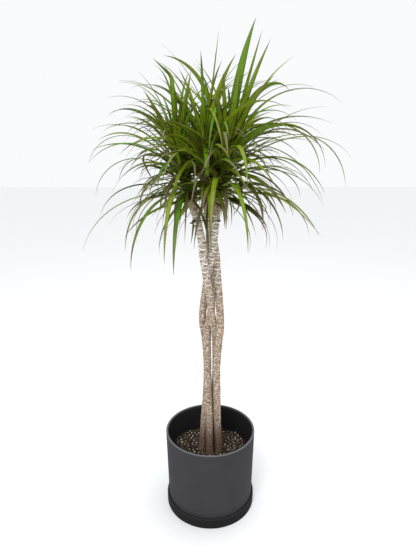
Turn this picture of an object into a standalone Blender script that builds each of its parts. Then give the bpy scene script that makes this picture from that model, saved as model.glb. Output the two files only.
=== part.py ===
"""Potted dragon tree: four intertwined canes with leafy heads, in a round pot on a saucer.

Metres, +Z up. The origin is the centre of the saucer's flat underside, and the front is -Y.
"""
import math
import random

import bmesh
import bpy
from mathutils import Matrix, Vector
from mathutils.bvhtree import BVHTree

# Pot and saucer
GAP = 0.0003
POT_RIM_RADIUS = 0.150
POT_BASE_RADIUS = 0.1440
POT_RIM_HEIGHT = 0.2774
POT_WALL = 0.0065
POT_FLOOR = 0.008
POT_EDGE_ROUND = 0.0022
DRAIN_RADIUS = 0.009
SAUCER_RADIUS = 0.151
SAUCER_HEIGHT = 0.0348
SAUCER_WALL = 0.0045
SAUCER_FLOOR = 0.006
SAUCER_EDGE_ROUND = 0.0015
POT_SIDES = 48
EDGE_STEPS = 2

# Soil
SOIL_TOP = 0.186
SOIL_SIDES = 36
SOIL_RINGS = 5
SOIL_LUMP = 0.0022
SOIL_LUMP_WAVES = (190.0, 170.0, 330.0, 290.0)
SOIL_MOUND = 0.006
SOIL_MOUND_SPREAD = 0.06
HOLE_CLEARANCE = 0.0004
HOLE_SIDES = 16
HOLE_TOP = SOIL_TOP + 0.03

# Canes: route points are (height, x, y), from the end in the soil to the leafy head
CANE_RADIUS = 0.0117
CANE_FOOT_RADIUS = 0.0131
CANE_FOOT_FADE = 0.05
CANE_END = 0.112
CANE_ROUTES = {
    "left": [(CANE_END, 0.004, 0.016), (SOIL_TOP + 0.01, 0.004, 0.016), (0.310, 0.007, 0.013),
             (0.430, 0.016, 0.010), (0.520, 0.019, 0.006), (0.610, 0.017, 0.000),
             (0.655, 0.012, -0.009), (0.700, 0.004, -0.013), (0.760, -0.001, -0.020),
             (0.820, -0.011, -0.028), (0.880, -0.020, -0.027), (0.940, -0.027, -0.016),
             (1.000, -0.041, -0.008), (1.045, -0.056, -0.003)],
    "right": [(CANE_END, -0.027, 0.002), (SOIL_TOP + 0.01, -0.027, 0.002), (0.310, -0.020, 0.009),
              (0.430, -0.012, 0.017), (0.520, -0.011, 0.022), (0.610, -0.018, 0.027),
              (0.655, -0.025, 0.028), (0.700, -0.023, 0.020), (0.760, -0.016, 0.006),
              (0.820, -0.008, 0.001), (0.880, 0.003, -0.012), (0.940, 0.011, -0.020),
              (1.000, 0.017, -0.017), (1.050, 0.023, -0.012)],
    "middle": [(CANE_END, 0.028, -0.002), (SOIL_TOP + 0.01, 0.028, -0.002), (0.310, 0.024, -0.009),
               (0.430, 0.022, -0.017), (0.520, 0.021, -0.022), (0.610, 0.027, -0.027),
               (0.655, 0.032, -0.025), (0.700, 0.031, -0.018), (0.760, 0.027, -0.008),
               (0.820, 0.022, 0.001), (0.880, 0.018, 0.011), (0.940, 0.007, 0.008),
               (1.000, -0.005, 0.000), (1.050, -0.010, -0.005)],
    "back": [(CANE_END, -0.002, -0.014), (SOIL_TOP + 0.01, -0.002, -0.014), (0.310, -0.003, -0.013),
             (0.430, -0.007, -0.009), (0.520, -0.008, -0.005), (0.610, -0.009, 0.002),
             (0.655, -0.007, 0.009), (0.700, 0.004, 0.016), (0.760, 0.004, 0.024),
             (0.820, -0.001, 0.028), (0.880, -0.003, 0.030), (0.940, -0.002, 0.033),
             (1.000, 0.003, 0.035), (1.045, 0.008, 0.039)],
}
CANE_SIDES = 8
DIRECTION_STEP = 0.001
SCAR_PITCH = 0.029
SCAR_RISE = 0.66
SCAR_RELIEF = 0.0006
SCAR_TILT = 0.0035

# Tie round the canes
TIE_HEIGHT = 0.992
TIE_RADIUS = 0.0013
TIE_POINTS = 28
TIE_SIDES = 6
TIE_KNOT_RADIUS = 0.0034

# Leafy heads: apex is where the head's core ends; width and length are of its leaves
GOLDEN_ANGLE = math.radians(137.508)
HEADS = {
    "left": {"apex": (-0.103, 0.006, 1.200), "leaves": 50, "width": 0.0110, "length": 0.305, "seed": 11},
    "middle": {"apex": (-0.016, -0.014, 1.225), "leaves": 46, "width": 0.0125, "length": 0.310, "seed": 23},
    "right": {"apex": (0.058, -0.014, 1.205), "leaves": 44, "width": 0.0130, "length": 0.330, "seed": 37},
    "back": {"apex": (0.024, 0.085, 1.190), "leaves": 44, "width": 0.0110, "length": 0.320, "seed": 41},
}
# Leaves that stand out: head, place up the core, then azimuth, rise and fall in degrees, length, width
STANDOUT_LEAVES = [
    ("right", 0.85, -45, 85, 65, 0.33, 0.019), ("right", 0.75, 35, 76, 75, 0.35, 0.013),
    ("right", 0.80, -15, 75, 65, 0.32, 0.014), ("right", 0.70, -22, 74, 5, 0.34, 0.021),
    ("right", 0.60, -15, 75, -45, 0.43, 0.011), ("right", 0.65, 5, 80, -20, 0.37, 0.010),
    ("right", 0.50, 20, 50, -5, 0.39, 0.010), ("right", 0.55, -50, 50, -75, 0.45, 0.015),
    ("right", 0.45, 22, 45, -85, 0.54, 0.011), ("right", 0.35, -45, 30, -60, 0.42, 0.011),
    ("right", 0.15, -50, 12, -50, 0.43, 0.012), ("right", 0.20, -78, 20, -90, 0.37, 0.018),
    ("right", 0.38, -97, 25, -88, 0.36, 0.019),
    ("middle", 0.90, 40, 80, 80, 0.31, 0.011), ("middle", 0.85, -40, 80, 50, 0.26, 0.012),
    ("middle", 0.70, 180, 70, 0, 0.33, 0.017), ("middle", 0.80, 150, 68, 42, 0.36, 0.011),
    ("middle", 0.15, -90, 15, -88, 0.34, 0.014),
    ("left", 0.75, -125, 84, 10, 0.36, 0.014), ("left", 0.92, -80, 80, 55, 0.21, 0.015),
    ("left", 0.75, 155, 85, -5, 0.33, 0.010), ("left", 0.60, -160, 85, -30, 0.32, 0.010),
    ("left", 0.50, -150, 60, -25, 0.31, 0.010), ("left", 0.50, 165, 55, -70, 0.37, 0.009),
    ("left", 0.35, -150, 45, -85, 0.33, 0.010), ("left", 0.15, -160, 5, -75, 0.37, 0.010),
    ("left", 0.10, 135, 0, -88, 0.45, 0.010), ("left", 0.10, -95, 10, -90, 0.38, 0.016),
    ("left", 0.25, -100, 15, -88, 0.40, 0.012), ("left", 0.40, -120, 50, -88, 0.27, 0.011),
]
CORE_SIDES = 10
CORE_RADII = [(0.0, 0.0121), (0.12, 0.0145), (0.4, 0.0140), (0.75, 0.0135), (1.0, 0.0070)]
CORE_BOW = 0.45
LEAF_THICKNESS = 0.0012
LEAF_KEEL = 0.12
LEAF_SEGMENTS = (3, 5)
BEND_PER_SEGMENT = 22
LEAF_STEPS = 60

# Shape along a leaf, as shares of its length and width
NECK_WIDTH = 0.62
WIDEST_AT = 0.33
TAPER_POWER = 1.35
DROOP_POWER = 1.5
SWEEP_POWER = 2

# Rule for the other leaves, from the foot of the core to its apex; angles in degrees
LEAF_PLACES = (0.04, 0.96)
ROOT_DEPTH = 0.5
RISE_FROM_TO = (-8, 80)
RISE_POWER = 0.85
FALL_FROM_TO = (-84, 21)
FALL_POWER = 1.7
LENGTH_AT_ENDS = 0.78
LENGTH_SWELL = 0.30
TURN_SPREAD = 14
RISE_SPREAD = 10
FALL_SPREAD = 16
SWEEP_SPREAD = 14
ROLL_SPREAD = 22
LENGTH_SPREAD = (0.86, 1.1)
WIDTH_SPREAD = (0.85, 1.12)

# A leaf that would cross another is drawn again, turned and lifted more after a third of the tries
CLEARANCE = 0.0009
TRIES = 60
RETRY_TURN = 70
RETRY_LIFT = 30
STEEPEST = 86


def clear_scene():
    for obj in list(bpy.data.objects):
        bpy.data.objects.remove(obj, do_unlink=True)
    for mesh in list(bpy.data.meshes):
        bpy.data.meshes.remove(mesh)


def material(name, color, roughness):
    made = bpy.data.materials.new(name)
    made.use_nodes = True
    shader = made.node_tree.nodes["Principled BSDF"]
    shader.inputs["Base Color"].default_value = (*color, 1.0)
    shader.inputs["Roughness"].default_value = roughness
    shader.inputs["Metallic"].default_value = 0.0
    return made


def add_object(name, mesh, mat, round_piece=True):
    obj = bpy.data.objects.new(name, mesh)
    bpy.context.scene.collection.objects.link(obj)
    mesh.materials.append(mat)
    if round_piece:
        mesh.shade_smooth()
        mesh.set_sharp_from_angle(angle=math.radians(40))
    return obj


def mesh_from_bmesh(name, shape):
    bmesh.ops.recalc_face_normals(shape, faces=shape.faces)
    mesh = bpy.data.meshes.new(name)
    shape.to_mesh(mesh)
    shape.free()
    return mesh


def rounded_corner(centre, radius, start, end):
    """Points of a quarter round in the (radius, height) plane, angles in degrees."""
    points = []
    for step in range(EDGE_STEPS + 1):
        angle = math.radians(start + (end - start) * step / EDGE_STEPS)
        points.append((centre[0] + radius * math.cos(angle), centre[1] + radius * math.sin(angle)))
    return points


def turned(name, profile, mat, sides, closed):
    """A profile of (radius, height) points spun round the Z axis."""
    shape = bmesh.new()
    verts = [shape.verts.new((radius, 0.0, height)) for radius, height in profile]
    edges = [shape.edges.new(pair) for pair in zip(verts, verts[1:])]
    if closed:
        edges.append(shape.edges.new((verts[-1], verts[0])))
    bmesh.ops.spin(shape, geom=verts + edges, cent=(0, 0, 0), axis=(0, 0, 1),
                   angle=math.tau, steps=sides, use_merge=True)
    bmesh.ops.remove_doubles(shape, verts=shape.verts, dist=0.00001)
    return add_object(name, mesh_from_bmesh(name, shape), mat)


def make_saucer(mat):
    top = SAUCER_HEIGHT
    inner = SAUCER_RADIUS - SAUCER_WALL
    edge = SAUCER_EDGE_ROUND
    profile = [(0.0, 0.0)]
    profile += rounded_corner((SAUCER_RADIUS - edge, edge), edge, -90, 0)
    profile += rounded_corner((SAUCER_RADIUS - edge, top - edge), edge, 0, 90)
    profile += rounded_corner((inner + edge, top - edge), edge, 90, 180)
    profile += [(inner, SAUCER_FLOOR), (0.0, SAUCER_FLOOR)]
    return turned("saucer", profile, mat, POT_SIDES, closed=False)


def pot_radius(height):
    """Outer radius of the pot's wall, which widens a little towards the rim."""
    return POT_BASE_RADIUS + (POT_RIM_RADIUS - POT_BASE_RADIUS) * height / POT_RIM_HEIGHT


def make_pot(mat):
    foot = SAUCER_FLOOR + GAP
    top = POT_RIM_HEIGHT
    edge = POT_EDGE_ROUND
    rim_inner = POT_RIM_RADIUS - POT_WALL
    profile = [(DRAIN_RADIUS, foot)]
    profile += rounded_corner((pot_radius(foot) - edge, foot + edge), edge, -90, 0)
    profile += rounded_corner((POT_RIM_RADIUS - edge, top - edge), edge, 0, 90)
    profile += rounded_corner((rim_inner + edge, top - edge), edge, 90, 180)
    profile += [(pot_radius(foot) - POT_WALL, foot + POT_FLOOR), (DRAIN_RADIUS, foot + POT_FLOOR)]
    return turned("pot", profile, mat, POT_SIDES, closed=True)


def inner_radius(height):
    """Radius of the pot's inner wall, which runs straight from its floor to its rim."""
    foot = SAUCER_FLOOR + GAP
    low = foot + POT_FLOOR
    high = POT_RIM_HEIGHT - POT_EDGE_ROUND
    share = (height - low) / (high - low)
    low_radius = pot_radius(foot) - POT_WALL
    return low_radius + (POT_RIM_RADIUS - POT_WALL - low_radius) * share


def soil_height(x, y):
    """Lumpy surface, a little higher round the canes."""
    distance = math.hypot(x, y)
    mound = SOIL_MOUND * math.exp(-(distance / SOIL_MOUND_SPREAD) ** 2)
    wave_x, wave_y, small_x, small_y = SOIL_LUMP_WAVES
    lumps = math.sin(x * wave_x) * math.cos(y * wave_y) + math.sin(x * small_x - y * small_y) / 2
    return SOIL_TOP + mound + SOIL_LUMP * lumps


def circle_points(radius, count):
    """(x, y) points evenly round the Z axis."""
    angles = [math.tau * index / count for index in range(count)]
    return [(radius * math.cos(angle), radius * math.sin(angle)) for angle in angles]


def make_soil(mat):
    base = SAUCER_FLOOR + GAP + POT_FLOOR + GAP
    facet_sag = inner_radius(SOIL_TOP) * (1 - math.cos(math.pi / POT_SIDES))
    wall_gap = GAP + facet_sag
    shape = bmesh.new()
    centre = shape.verts.new((0, 0, soil_height(0, 0)))
    rings = []
    for ring in range(1, SOIL_RINGS + 1):
        radius = (inner_radius(SOIL_TOP) - wall_gap) * ring / SOIL_RINGS
        at_wall = ring == SOIL_RINGS
        rings.append([shape.verts.new((x, y, SOIL_TOP if at_wall else soil_height(x, y)))
                      for x, y in circle_points(radius, SOIL_SIDES)])
    low_radius = inner_radius(base) - wall_gap
    rings.append([shape.verts.new((x, y, base)) for x, y in circle_points(low_radius, SOIL_SIDES)])
    for side in range(SOIL_SIDES):
        after = (side + 1) % SOIL_SIDES
        shape.faces.new((centre, rings[0][side], rings[0][after]))
        for inner, outer in zip(rings, rings[1:]):
            shape.faces.new((inner[side], outer[side], outer[after], inner[after]))
    shape.faces.new(rings[-1])
    bmesh.ops.triangulate(shape, faces=shape.faces)
    soil = add_object("soil", mesh_from_bmesh("soil", shape), mat)
    cut_cane_holes(soil)
    return soil


def cut_cane_holes(soil):
    """Plain upright holes that the canes' ends stand in."""
    bottom = CANE_END - HOLE_CLEARANCE
    radius = CANE_FOOT_RADIUS + HOLE_CLEARANCE
    for side, route in CANE_ROUTES.items():
        shape = bmesh.new()
        middle = Matrix.Translation((route[0][1], route[0][2], (HOLE_TOP + bottom) / 2))
        bmesh.ops.create_cone(shape, cap_ends=True, segments=HOLE_SIDES, radius1=radius,
                              radius2=radius, depth=HOLE_TOP - bottom, matrix=middle)
        cutter = bpy.data.objects.new("hole_" + side, mesh_from_bmesh("hole_" + side, shape))
        bpy.context.scene.collection.objects.link(cutter)
        cutter.hide_render = True
        cutter.display_type = "WIRE"
        cut = soil.modifiers.new("hole_" + side, "BOOLEAN")
        cut.operation = "DIFFERENCE"
        cut.object = cutter


def cane_point(route, height):
    """Point of a smooth curve through the route's points (Catmull-Rom over height)."""
    heights = [point[0] for point in route]
    last = len(route) - 2
    span = next((i for i in range(last + 1) if height <= heights[i + 1]), last)
    start, end = route[span], route[span + 1]
    before = route[max(span - 1, 0)]
    after = route[min(span + 2, last + 1)]
    length = end[0] - start[0]
    share = (height - start[0]) / length
    square, cube = share * share, share * share * share
    coords = []
    for axis in (1, 2):
        slope_in = (end[axis] - before[axis]) / (end[0] - before[0]) * length
        slope_out = (after[axis] - start[axis]) / (after[0] - start[0]) * length
        coords.append((2 * cube - 3 * square + 1) * start[axis] + (cube - 2 * square + share) * slope_in
                      + (3 * square - 2 * cube) * end[axis] + (cube - square) * slope_out)
    return Vector((coords[0], coords[1], height))


def cane_direction(route, height):
    low = max(height - DIRECTION_STEP, route[0][0])
    high = min(height + DIRECTION_STEP, route[-1][0])
    return (cane_point(route, high) - cane_point(route, low)).normalized()


def round_offsets(along, count, start=0.0):
    """Unit directions square to a line, evenly round it, with their angles."""
    across = Vector((1, 0, 0))
    across = (across - along * across.dot(along)).normalized()
    behind = along.cross(across)
    angles = [math.tau * (index + start) / count for index in range(count)]
    return [(across * math.cos(angle) + behind * math.sin(angle), angle) for angle in angles]


def cane_radius(height):
    """Slim all the way, and a little thicker just above the soil."""
    above = max(height - SOIL_TOP, 0.0)
    return CANE_RADIUS + (CANE_FOOT_RADIUS - CANE_RADIUS) * math.exp(-above / CANE_FOOT_FADE)


def tube_faces(shape, rings):
    """Sides between the rings, and a flat cap at each end."""
    count = len(rings[0])
    for low, high in zip(rings, rings[1:]):
        for side in range(count):
            after = (side + 1) % count
            shape.faces.new((low[side], low[after], high[after], high[side]))
    shape.faces.new(list(reversed(rings[0])))
    shape.faces.new(rings[-1])


def cane_levels(route):
    """Heights, relief and scar number of the rings: each scar rises slowly and steps back in."""
    levels = [(route[0][0], -1.0, 0), (SOIL_TOP, -1.0, 0)]
    height = SOIL_TOP + SCAR_PITCH / 2
    scar = 1
    while height + SCAR_PITCH < route[-1][0] - SCAR_TILT:
        levels.append((height, -1.0, scar))
        levels.append((height + SCAR_PITCH * SCAR_RISE, 1.0, scar))
        height += SCAR_PITCH
        scar += 1
    levels.append((route[-1][0], 0.0, 0))
    return levels


def make_cane(side, mat):
    route = CANE_ROUTES[side]
    shape = bmesh.new()
    rings = []
    for height, relief, scar in cane_levels(route):
        centre = cane_point(route, height)
        along = cane_direction(route, height)
        radius = cane_radius(height) + SCAR_RELIEF * relief
        lean = scar * GOLDEN_ANGLE
        tilt = SCAR_TILT if scar else 0.0
        rings.append([shape.verts.new(centre + offset * radius + along * tilt * math.cos(angle - lean))
                      for offset, angle in round_offsets(along, CANE_SIDES, 0.5)])
    tube_faces(shape, rings)
    bmesh.ops.triangulate(shape, faces=shape.faces)
    return add_object("cane_" + side, mesh_from_bmesh("cane_" + side, shape), mat)


def tie_path():
    """Points of a band that runs tight round all the canes."""
    reach = CANE_RADIUS + SCAR_RELIEF + GAP + TIE_RADIUS
    centres = [cane_point(route, TIE_HEIGHT) for route in CANE_ROUTES.values()]
    path = []
    for x, y in circle_points(1.0, TIE_POINTS):
        out = Vector((x, y, 0))
        path.append(max(centres, key=out.dot) + out * reach)
    return path


def make_tie(mat):
    """A thin band with a knot at its left end."""
    path = tie_path()
    knot_at = TIE_POINTS // 2
    shape = bmesh.new()
    rings = []
    for index, point in enumerate(path):
        along = (path[(index + 1) % TIE_POINTS] - path[index - 1]).normalized()
        out = along.cross(Vector((0, 0, 1)))
        radius = TIE_KNOT_RADIUS if index == knot_at else TIE_RADIUS
        middle = point + out * (radius - TIE_RADIUS)
        rings.append([shape.verts.new(middle + out * x * radius + Vector((0, 0, z * radius)))
                      for x, z in circle_points(1.0, TIE_SIDES)])
    for index, ring in enumerate(rings):
        following = rings[(index + 1) % TIE_POINTS]
        for side in range(TIE_SIDES):
            after = (side + 1) % TIE_SIDES
            shape.faces.new((ring[side], following[side], following[after], ring[after]))
    return add_object("tie", mesh_from_bmesh("tie", shape), mat)


def head_axis(side):
    """Foot and apex of a head's core: it goes on where its cane ends."""
    route = CANE_ROUTES[side]
    foot = cane_point(route, route[-1][0]) + cane_direction(route, route[-1][0]) * GAP
    return foot, Vector(HEADS[side]["apex"])


def core_point(side, share):
    """Point on a head's bowed axis, at a share of its height."""
    foot, apex = head_axis(side)
    start = cane_direction(CANE_ROUTES[side], CANE_ROUTES[side][-1][0])
    bend = foot + start * (apex - foot).length * CORE_BOW
    return foot * (1 - share) ** 2 + bend * 2 * share * (1 - share) + apex * share ** 2


def core_direction(side, share):
    """Direction of the bowed axis; at its foot it is the cane's own."""
    if share == 0.0:
        return cane_direction(CANE_ROUTES[side], CANE_ROUTES[side][-1][0])
    return (core_point(side, share) - core_point(side, share - DIRECTION_STEP)).normalized()


def core_radius(share):
    (low, low_radius), (high, high_radius) = next(pair for pair in zip(CORE_RADII, CORE_RADII[1:])
                                                  if share <= pair[1][0])
    return low_radius + (high_radius - low_radius) * (share - low) / (high - low)


def make_core(side):
    shape = bmesh.new()
    rings = []
    for share, radius in CORE_RADII:
        centre = core_point(side, share)
        around = round_offsets(core_direction(side, share), CORE_SIDES)
        rings.append([shape.verts.new(centre + offset * radius) for offset, angle in around])
    tube_faces(shape, rings)
    bmesh.ops.triangulate(shape, faces=shape.faces)
    return mesh_from_bmesh("core_" + side, shape)


def leaf_path(leaf, count):
    """Points, directions and cross directions of a leaf that rises at first and then bends over."""
    point = leaf["root"].copy()
    step = leaf["length"] / LEAF_STEPS
    samples = []
    for index in range(LEAF_STEPS + 1):
        share = index / LEAF_STEPS
        slope = leaf["rise"] + (leaf["fall"] - leaf["rise"]) * share ** DROOP_POWER
        azimuth = leaf["azimuth"] + leaf["sweep"] * share ** SWEEP_POWER
        flat = Vector((math.cos(azimuth), math.sin(azimuth), 0))
        along = flat * math.cos(slope) + Vector((0, 0, math.sin(slope)))
        side = Vector((-math.sin(azimuth), math.cos(azimuth), 0))
        upper = along.cross(side)
        roll = leaf["roll"] * share
        turned_side = side * math.cos(roll) + upper * math.sin(roll)
        samples.append((point.copy(), along, turned_side, share))
        point = point + along * step
    return [samples[round(index * LEAF_STEPS / count)] for index in range(count + 1)]


def leaf_width(leaf, share):
    """Narrower at the neck, widest at a third, then a long taper."""
    swell = NECK_WIDTH + (1 - NECK_WIDTH) * math.sin(min(share / WIDEST_AT, 1.0) * math.pi / 2)
    past_widest = max(share - WIDEST_AT, 0.0) / (1 - WIDEST_AT)
    return leaf["width"] * swell * (1 - past_widest ** TAPER_POWER)


def leaf_segments(leaf):
    """More bends get more facets."""
    bend = abs(math.degrees(leaf["rise"] - leaf["fall"]))
    fewest, most = LEAF_SEGMENTS
    return min(most, max(fewest, math.ceil(bend / BEND_PER_SEGMENT)))


def leaf_rings(leaf, margin=0.0):
    """Three-cornered sections: two edges and the midrib below."""
    count = leaf_segments(leaf)
    path = leaf_path(leaf, count)
    rings = []
    for point, along, side, share in path[:-1]:
        half = leaf_width(leaf, share) / 2 + margin
        under = side.cross(along).normalized()
        depth = LEAF_THICKNESS + half * LEAF_KEEL + margin
        lift = -under * margin
        rings.append((point - side * half + lift, point + under * depth, point + side * half + lift))
    return rings, path[-1][0]


def leaf_polygons(rings, tip):
    verts = [corner for ring in rings for corner in ring] + [tip]
    faces = [(0, 1, 2)]
    for index in range(len(rings) - 1):
        base = index * 3
        for a, b in ((0, 1), (1, 2), (2, 0)):
            low_a, low_b, high_a, high_b = base + a, base + b, base + 3 + a, base + 3 + b
            faces.append((low_b, low_a, high_a))
            faces.append((low_b, high_a, high_b))
    base = (len(rings) - 1) * 3
    for a, b in ((0, 1), (1, 2), (2, 0)):
        faces.append((base + b, base + a, len(verts) - 1))
    return verts, faces


def tree_of(verts, faces):
    return BVHTree.FromPolygons([tuple(vert) for vert in verts], faces)


def leaf_trees(leaf):
    """Search trees of the whole blade with a margin, and of the blade past its neck."""
    rings, tip = leaf_rings(leaf, CLEARANCE)
    whole = tree_of(*leaf_polygons(rings, tip))
    rings, tip = leaf_rings(leaf)
    outer = tree_of(*leaf_polygons(rings[1:], tip))
    return whole, outer


def tree_of_mesh(mesh):
    return tree_of([vert.co for vert in mesh.vertices], [tuple(face.vertices) for face in mesh.polygons])


def leaf_root(side, share, azimuth):
    """A leaf starts inside the core, on the side that it grows to."""
    lowest, highest = LEAF_PLACES
    place = lowest + (highest - lowest) * share
    outward = Vector((math.cos(azimuth), math.sin(azimuth), 0))
    return core_point(side, place) + outward * core_radius(share) * ROOT_DEPTH


def drawn_leaf(side, share, turn, draw):
    """A leaf by the head's rule: old low leaves hang, middle ones arch, young top ones stand."""
    head = HEADS[side]
    azimuth = turn + math.radians(draw.uniform(-TURN_SPREAD, TURN_SPREAD))
    low_rise, high_rise = RISE_FROM_TO
    low_fall, high_fall = FALL_FROM_TO
    rise = low_rise + (high_rise - low_rise) * share ** RISE_POWER + draw.uniform(-RISE_SPREAD, RISE_SPREAD)
    fall = low_fall + (high_fall - low_fall) * share ** FALL_POWER + draw.uniform(-FALL_SPREAD, FALL_SPREAD)
    swell = LENGTH_AT_ENDS + LENGTH_SWELL * math.sin(math.pi * share)
    return {
        "azimuth": azimuth,
        "rise": math.radians(rise),
        "fall": math.radians(min(fall, rise)),
        "length": head["length"] * swell * draw.uniform(*LENGTH_SPREAD),
        "width": head["width"] * draw.uniform(*WIDTH_SPREAD),
        "sweep": math.radians(draw.uniform(-SWEEP_SPREAD, SWEEP_SPREAD)),
        "roll": math.radians(draw.uniform(-ROLL_SPREAD, ROLL_SPREAD)),
        "root": leaf_root(side, share, azimuth),
    }


def standout_leaf(side, share, azimuth, rise, fall, length, width):
    azimuth = math.radians(azimuth)
    return {
        "azimuth": azimuth,
        "rise": math.radians(rise),
        "fall": math.radians(fall),
        "length": length,
        "width": width,
        "sweep": 0.0,
        "roll": 0.0,
        "root": leaf_root(side, share, azimuth),
    }


class Grown:
    """The leaves grown so far, and what a new leaf has to stay clear of."""

    def __init__(self, fixed_trees, cores):
        self.leaves = {side: [] for side in HEADS}
        self.outer_trees = {side: [] for side in HEADS}
        self.solid_trees = {side: [core] for side, core in cores.items()}
        self.fixed_trees = fixed_trees

    def crossings(self, side, whole, outer):
        """Crossings in the leaf's own head, or None where it crosses any other piece."""
        others = [tree for name in HEADS if name != side for tree in self.solid_trees[name]]
        if any(whole.overlap(tree) for tree in others + self.fixed_trees):
            return None
        return sum(1 for tree in self.outer_trees[side] if outer.overlap(tree))

    def add(self, side, leaf, whole, outer):
        self.leaves[side].append(leaf)
        self.solid_trees[side].append(whole)
        self.outer_trees[side].append(outer)


def clearest_leaf(grown, side, share, turn, draw):
    """The drawn leaf with the fewest crossings in its own head, and none elsewhere."""
    best = None
    for attempt in range(TRIES):
        leaf = drawn_leaf(side, share, turn, draw)
        if attempt > TRIES // 3:
            leaf["azimuth"] += math.radians(draw.uniform(-RETRY_TURN, RETRY_TURN))
            leaf["rise"] = min(leaf["rise"] + math.radians(draw.uniform(0, RETRY_LIFT)),
                               math.radians(STEEPEST))
        whole, outer = leaf_trees(leaf)
        crossings = grown.crossings(side, whole, outer)
        if crossings is not None and (best is None or crossings < best[0]):
            best = (crossings, leaf, whole, outer)
        if crossings == 0:
            break
    return best


def grow_leaves(fixed_trees, cores):
    """Grow the leaves of all heads by turns, each clear of the canes, the tie and the other heads."""
    grown = Grown(fixed_trees, cores)
    for side, *sizes in STANDOUT_LEAVES:
        leaf = standout_leaf(side, *sizes)
        whole, outer = leaf_trees(leaf)
        if grown.crossings(side, whole, outer) is not None:
            grown.add(side, leaf, whole, outer)
    draws = {side: random.Random(head["seed"]) for side, head in HEADS.items()}
    for number in range(max(head["leaves"] for head in HEADS.values())):
        for side, head in HEADS.items():
            if number < head["leaves"]:
                share = (number + 0.5) / head["leaves"]
                best = clearest_leaf(grown, side, share, number * GOLDEN_ANGLE, draws[side])
                if best:
                    grown.add(side, *best[1:])
    return grown.leaves


def body_of(start, visited):
    """All vertices joined to the start."""
    body = [start]
    visited.add(start)
    for vert in body:
        for edge in vert.link_edges:
            other = edge.other_vert(vert)
            if other not in visited:
                visited.add(other)
                body.append(other)
    return body


def keep_main_body(mesh):
    """Fill hollows that fusing sealed and drop loose scraps: only the largest body stays."""
    shape = bmesh.new()
    shape.from_mesh(mesh)
    visited = set()
    bodies = [body_of(vert, visited) for vert in shape.verts if vert not in visited]
    bodies.sort(key=len)
    for body in bodies[:-1]:
        bmesh.ops.delete(shape, geom=body, context="VERTS")
    shape.to_mesh(mesh)
    shape.free()


def blade_object(name, leaf):
    verts, faces = leaf_polygons(*leaf_rings(leaf))
    shape = bmesh.new()
    corners = [shape.verts.new(vert) for vert in verts]
    for face in faces:
        shape.faces.new([corners[index] for index in face])
    return bpy.data.objects.new(name, mesh_from_bmesh(name, shape))


def make_head(side, leaves, mat):
    """One solid: the green tip of the cane with its leaves fused on."""
    head = add_object("head_" + side, make_core(side), mat, round_piece=False)
    blades = bpy.data.collections.new("blades_" + side)
    bpy.context.scene.collection.children.link(blades)
    for index, leaf in enumerate(leaves):
        blades.objects.link(blade_object("blade_%s_%d" % (side, index), leaf))
    union = head.modifiers.new("blades", "BOOLEAN")
    union.operation = "UNION"
    union.operand_type = "COLLECTION"
    union.collection = blades
    union.solver = "EXACT"
    bpy.context.view_layer.update()
    joined = bpy.data.meshes.new_from_object(head.evaluated_get(bpy.context.evaluated_depsgraph_get()))
    head.modifiers.clear()
    keep_main_body(joined)
    head.data = joined
    for blade in list(blades.objects):
        bpy.data.objects.remove(blade, do_unlink=True)
    bpy.data.collections.remove(blades)
    return head


def build():
    clear_scene()
    pot_finish = material("pot charcoal", (0.060, 0.061, 0.064), 0.75)
    saucer_finish = material("saucer charcoal", (0.030, 0.031, 0.033), 0.6)
    soil_finish = material("potting soil", (0.035, 0.024, 0.017), 0.95)
    bark_finish = material("cane bark", (0.42, 0.34, 0.25), 0.85)
    tie_finish = material("black tie", (0.012, 0.012, 0.012), 0.5)
    leaf_finish = material("leaf green", (0.060, 0.170, 0.028), 0.4)
    make_saucer(saucer_finish)
    make_pot(pot_finish)
    make_soil(soil_finish)
    canes = [make_cane(side, bark_finish) for side in CANE_ROUTES]
    tie = make_tie(tie_finish)
    fixed_trees = [tree_of_mesh(obj.data) for obj in canes + [tie]]
    core_trees = {side: tree_of_mesh(make_core(side)) for side in HEADS}
    grown = grow_leaves(fixed_trees, core_trees)
    for side in HEADS:
        make_head(side, grown[side], leaf_finish)


build()
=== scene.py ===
"""Looks of a potted dragon tree: a pot on its saucer, soil, four twisted canes, their tie and leafy heads.

Metres, +Z up, in the frame of the packed model. The front is -Y.
"""
import math
import random
from dataclasses import dataclass

import bmesh
import bpy
from mathutils import Euler, Matrix, Vector, noise


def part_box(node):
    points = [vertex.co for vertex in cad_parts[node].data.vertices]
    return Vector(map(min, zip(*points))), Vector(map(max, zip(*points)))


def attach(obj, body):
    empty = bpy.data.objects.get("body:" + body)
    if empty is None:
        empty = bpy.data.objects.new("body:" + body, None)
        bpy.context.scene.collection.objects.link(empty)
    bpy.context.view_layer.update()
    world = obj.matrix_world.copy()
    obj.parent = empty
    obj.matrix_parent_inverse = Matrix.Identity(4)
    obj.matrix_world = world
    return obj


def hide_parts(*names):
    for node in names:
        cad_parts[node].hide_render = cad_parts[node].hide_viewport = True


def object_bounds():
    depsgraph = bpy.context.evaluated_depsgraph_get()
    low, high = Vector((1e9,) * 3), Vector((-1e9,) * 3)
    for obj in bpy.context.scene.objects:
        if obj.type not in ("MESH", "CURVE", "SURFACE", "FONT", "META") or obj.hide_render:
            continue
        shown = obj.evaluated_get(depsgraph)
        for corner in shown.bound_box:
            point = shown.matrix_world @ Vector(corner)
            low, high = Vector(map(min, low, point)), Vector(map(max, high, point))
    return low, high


bl_info = {
    "name": "Potted dragon tree",
    "version": (1, 0, 0),
    "blender": (4, 5, 0),
    "location": "3D View > Sidebar > Dragon tree",
    "description": "Makes a potted dragon tree with four twisted canes",
    "category": "Add Mesh",
}

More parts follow.
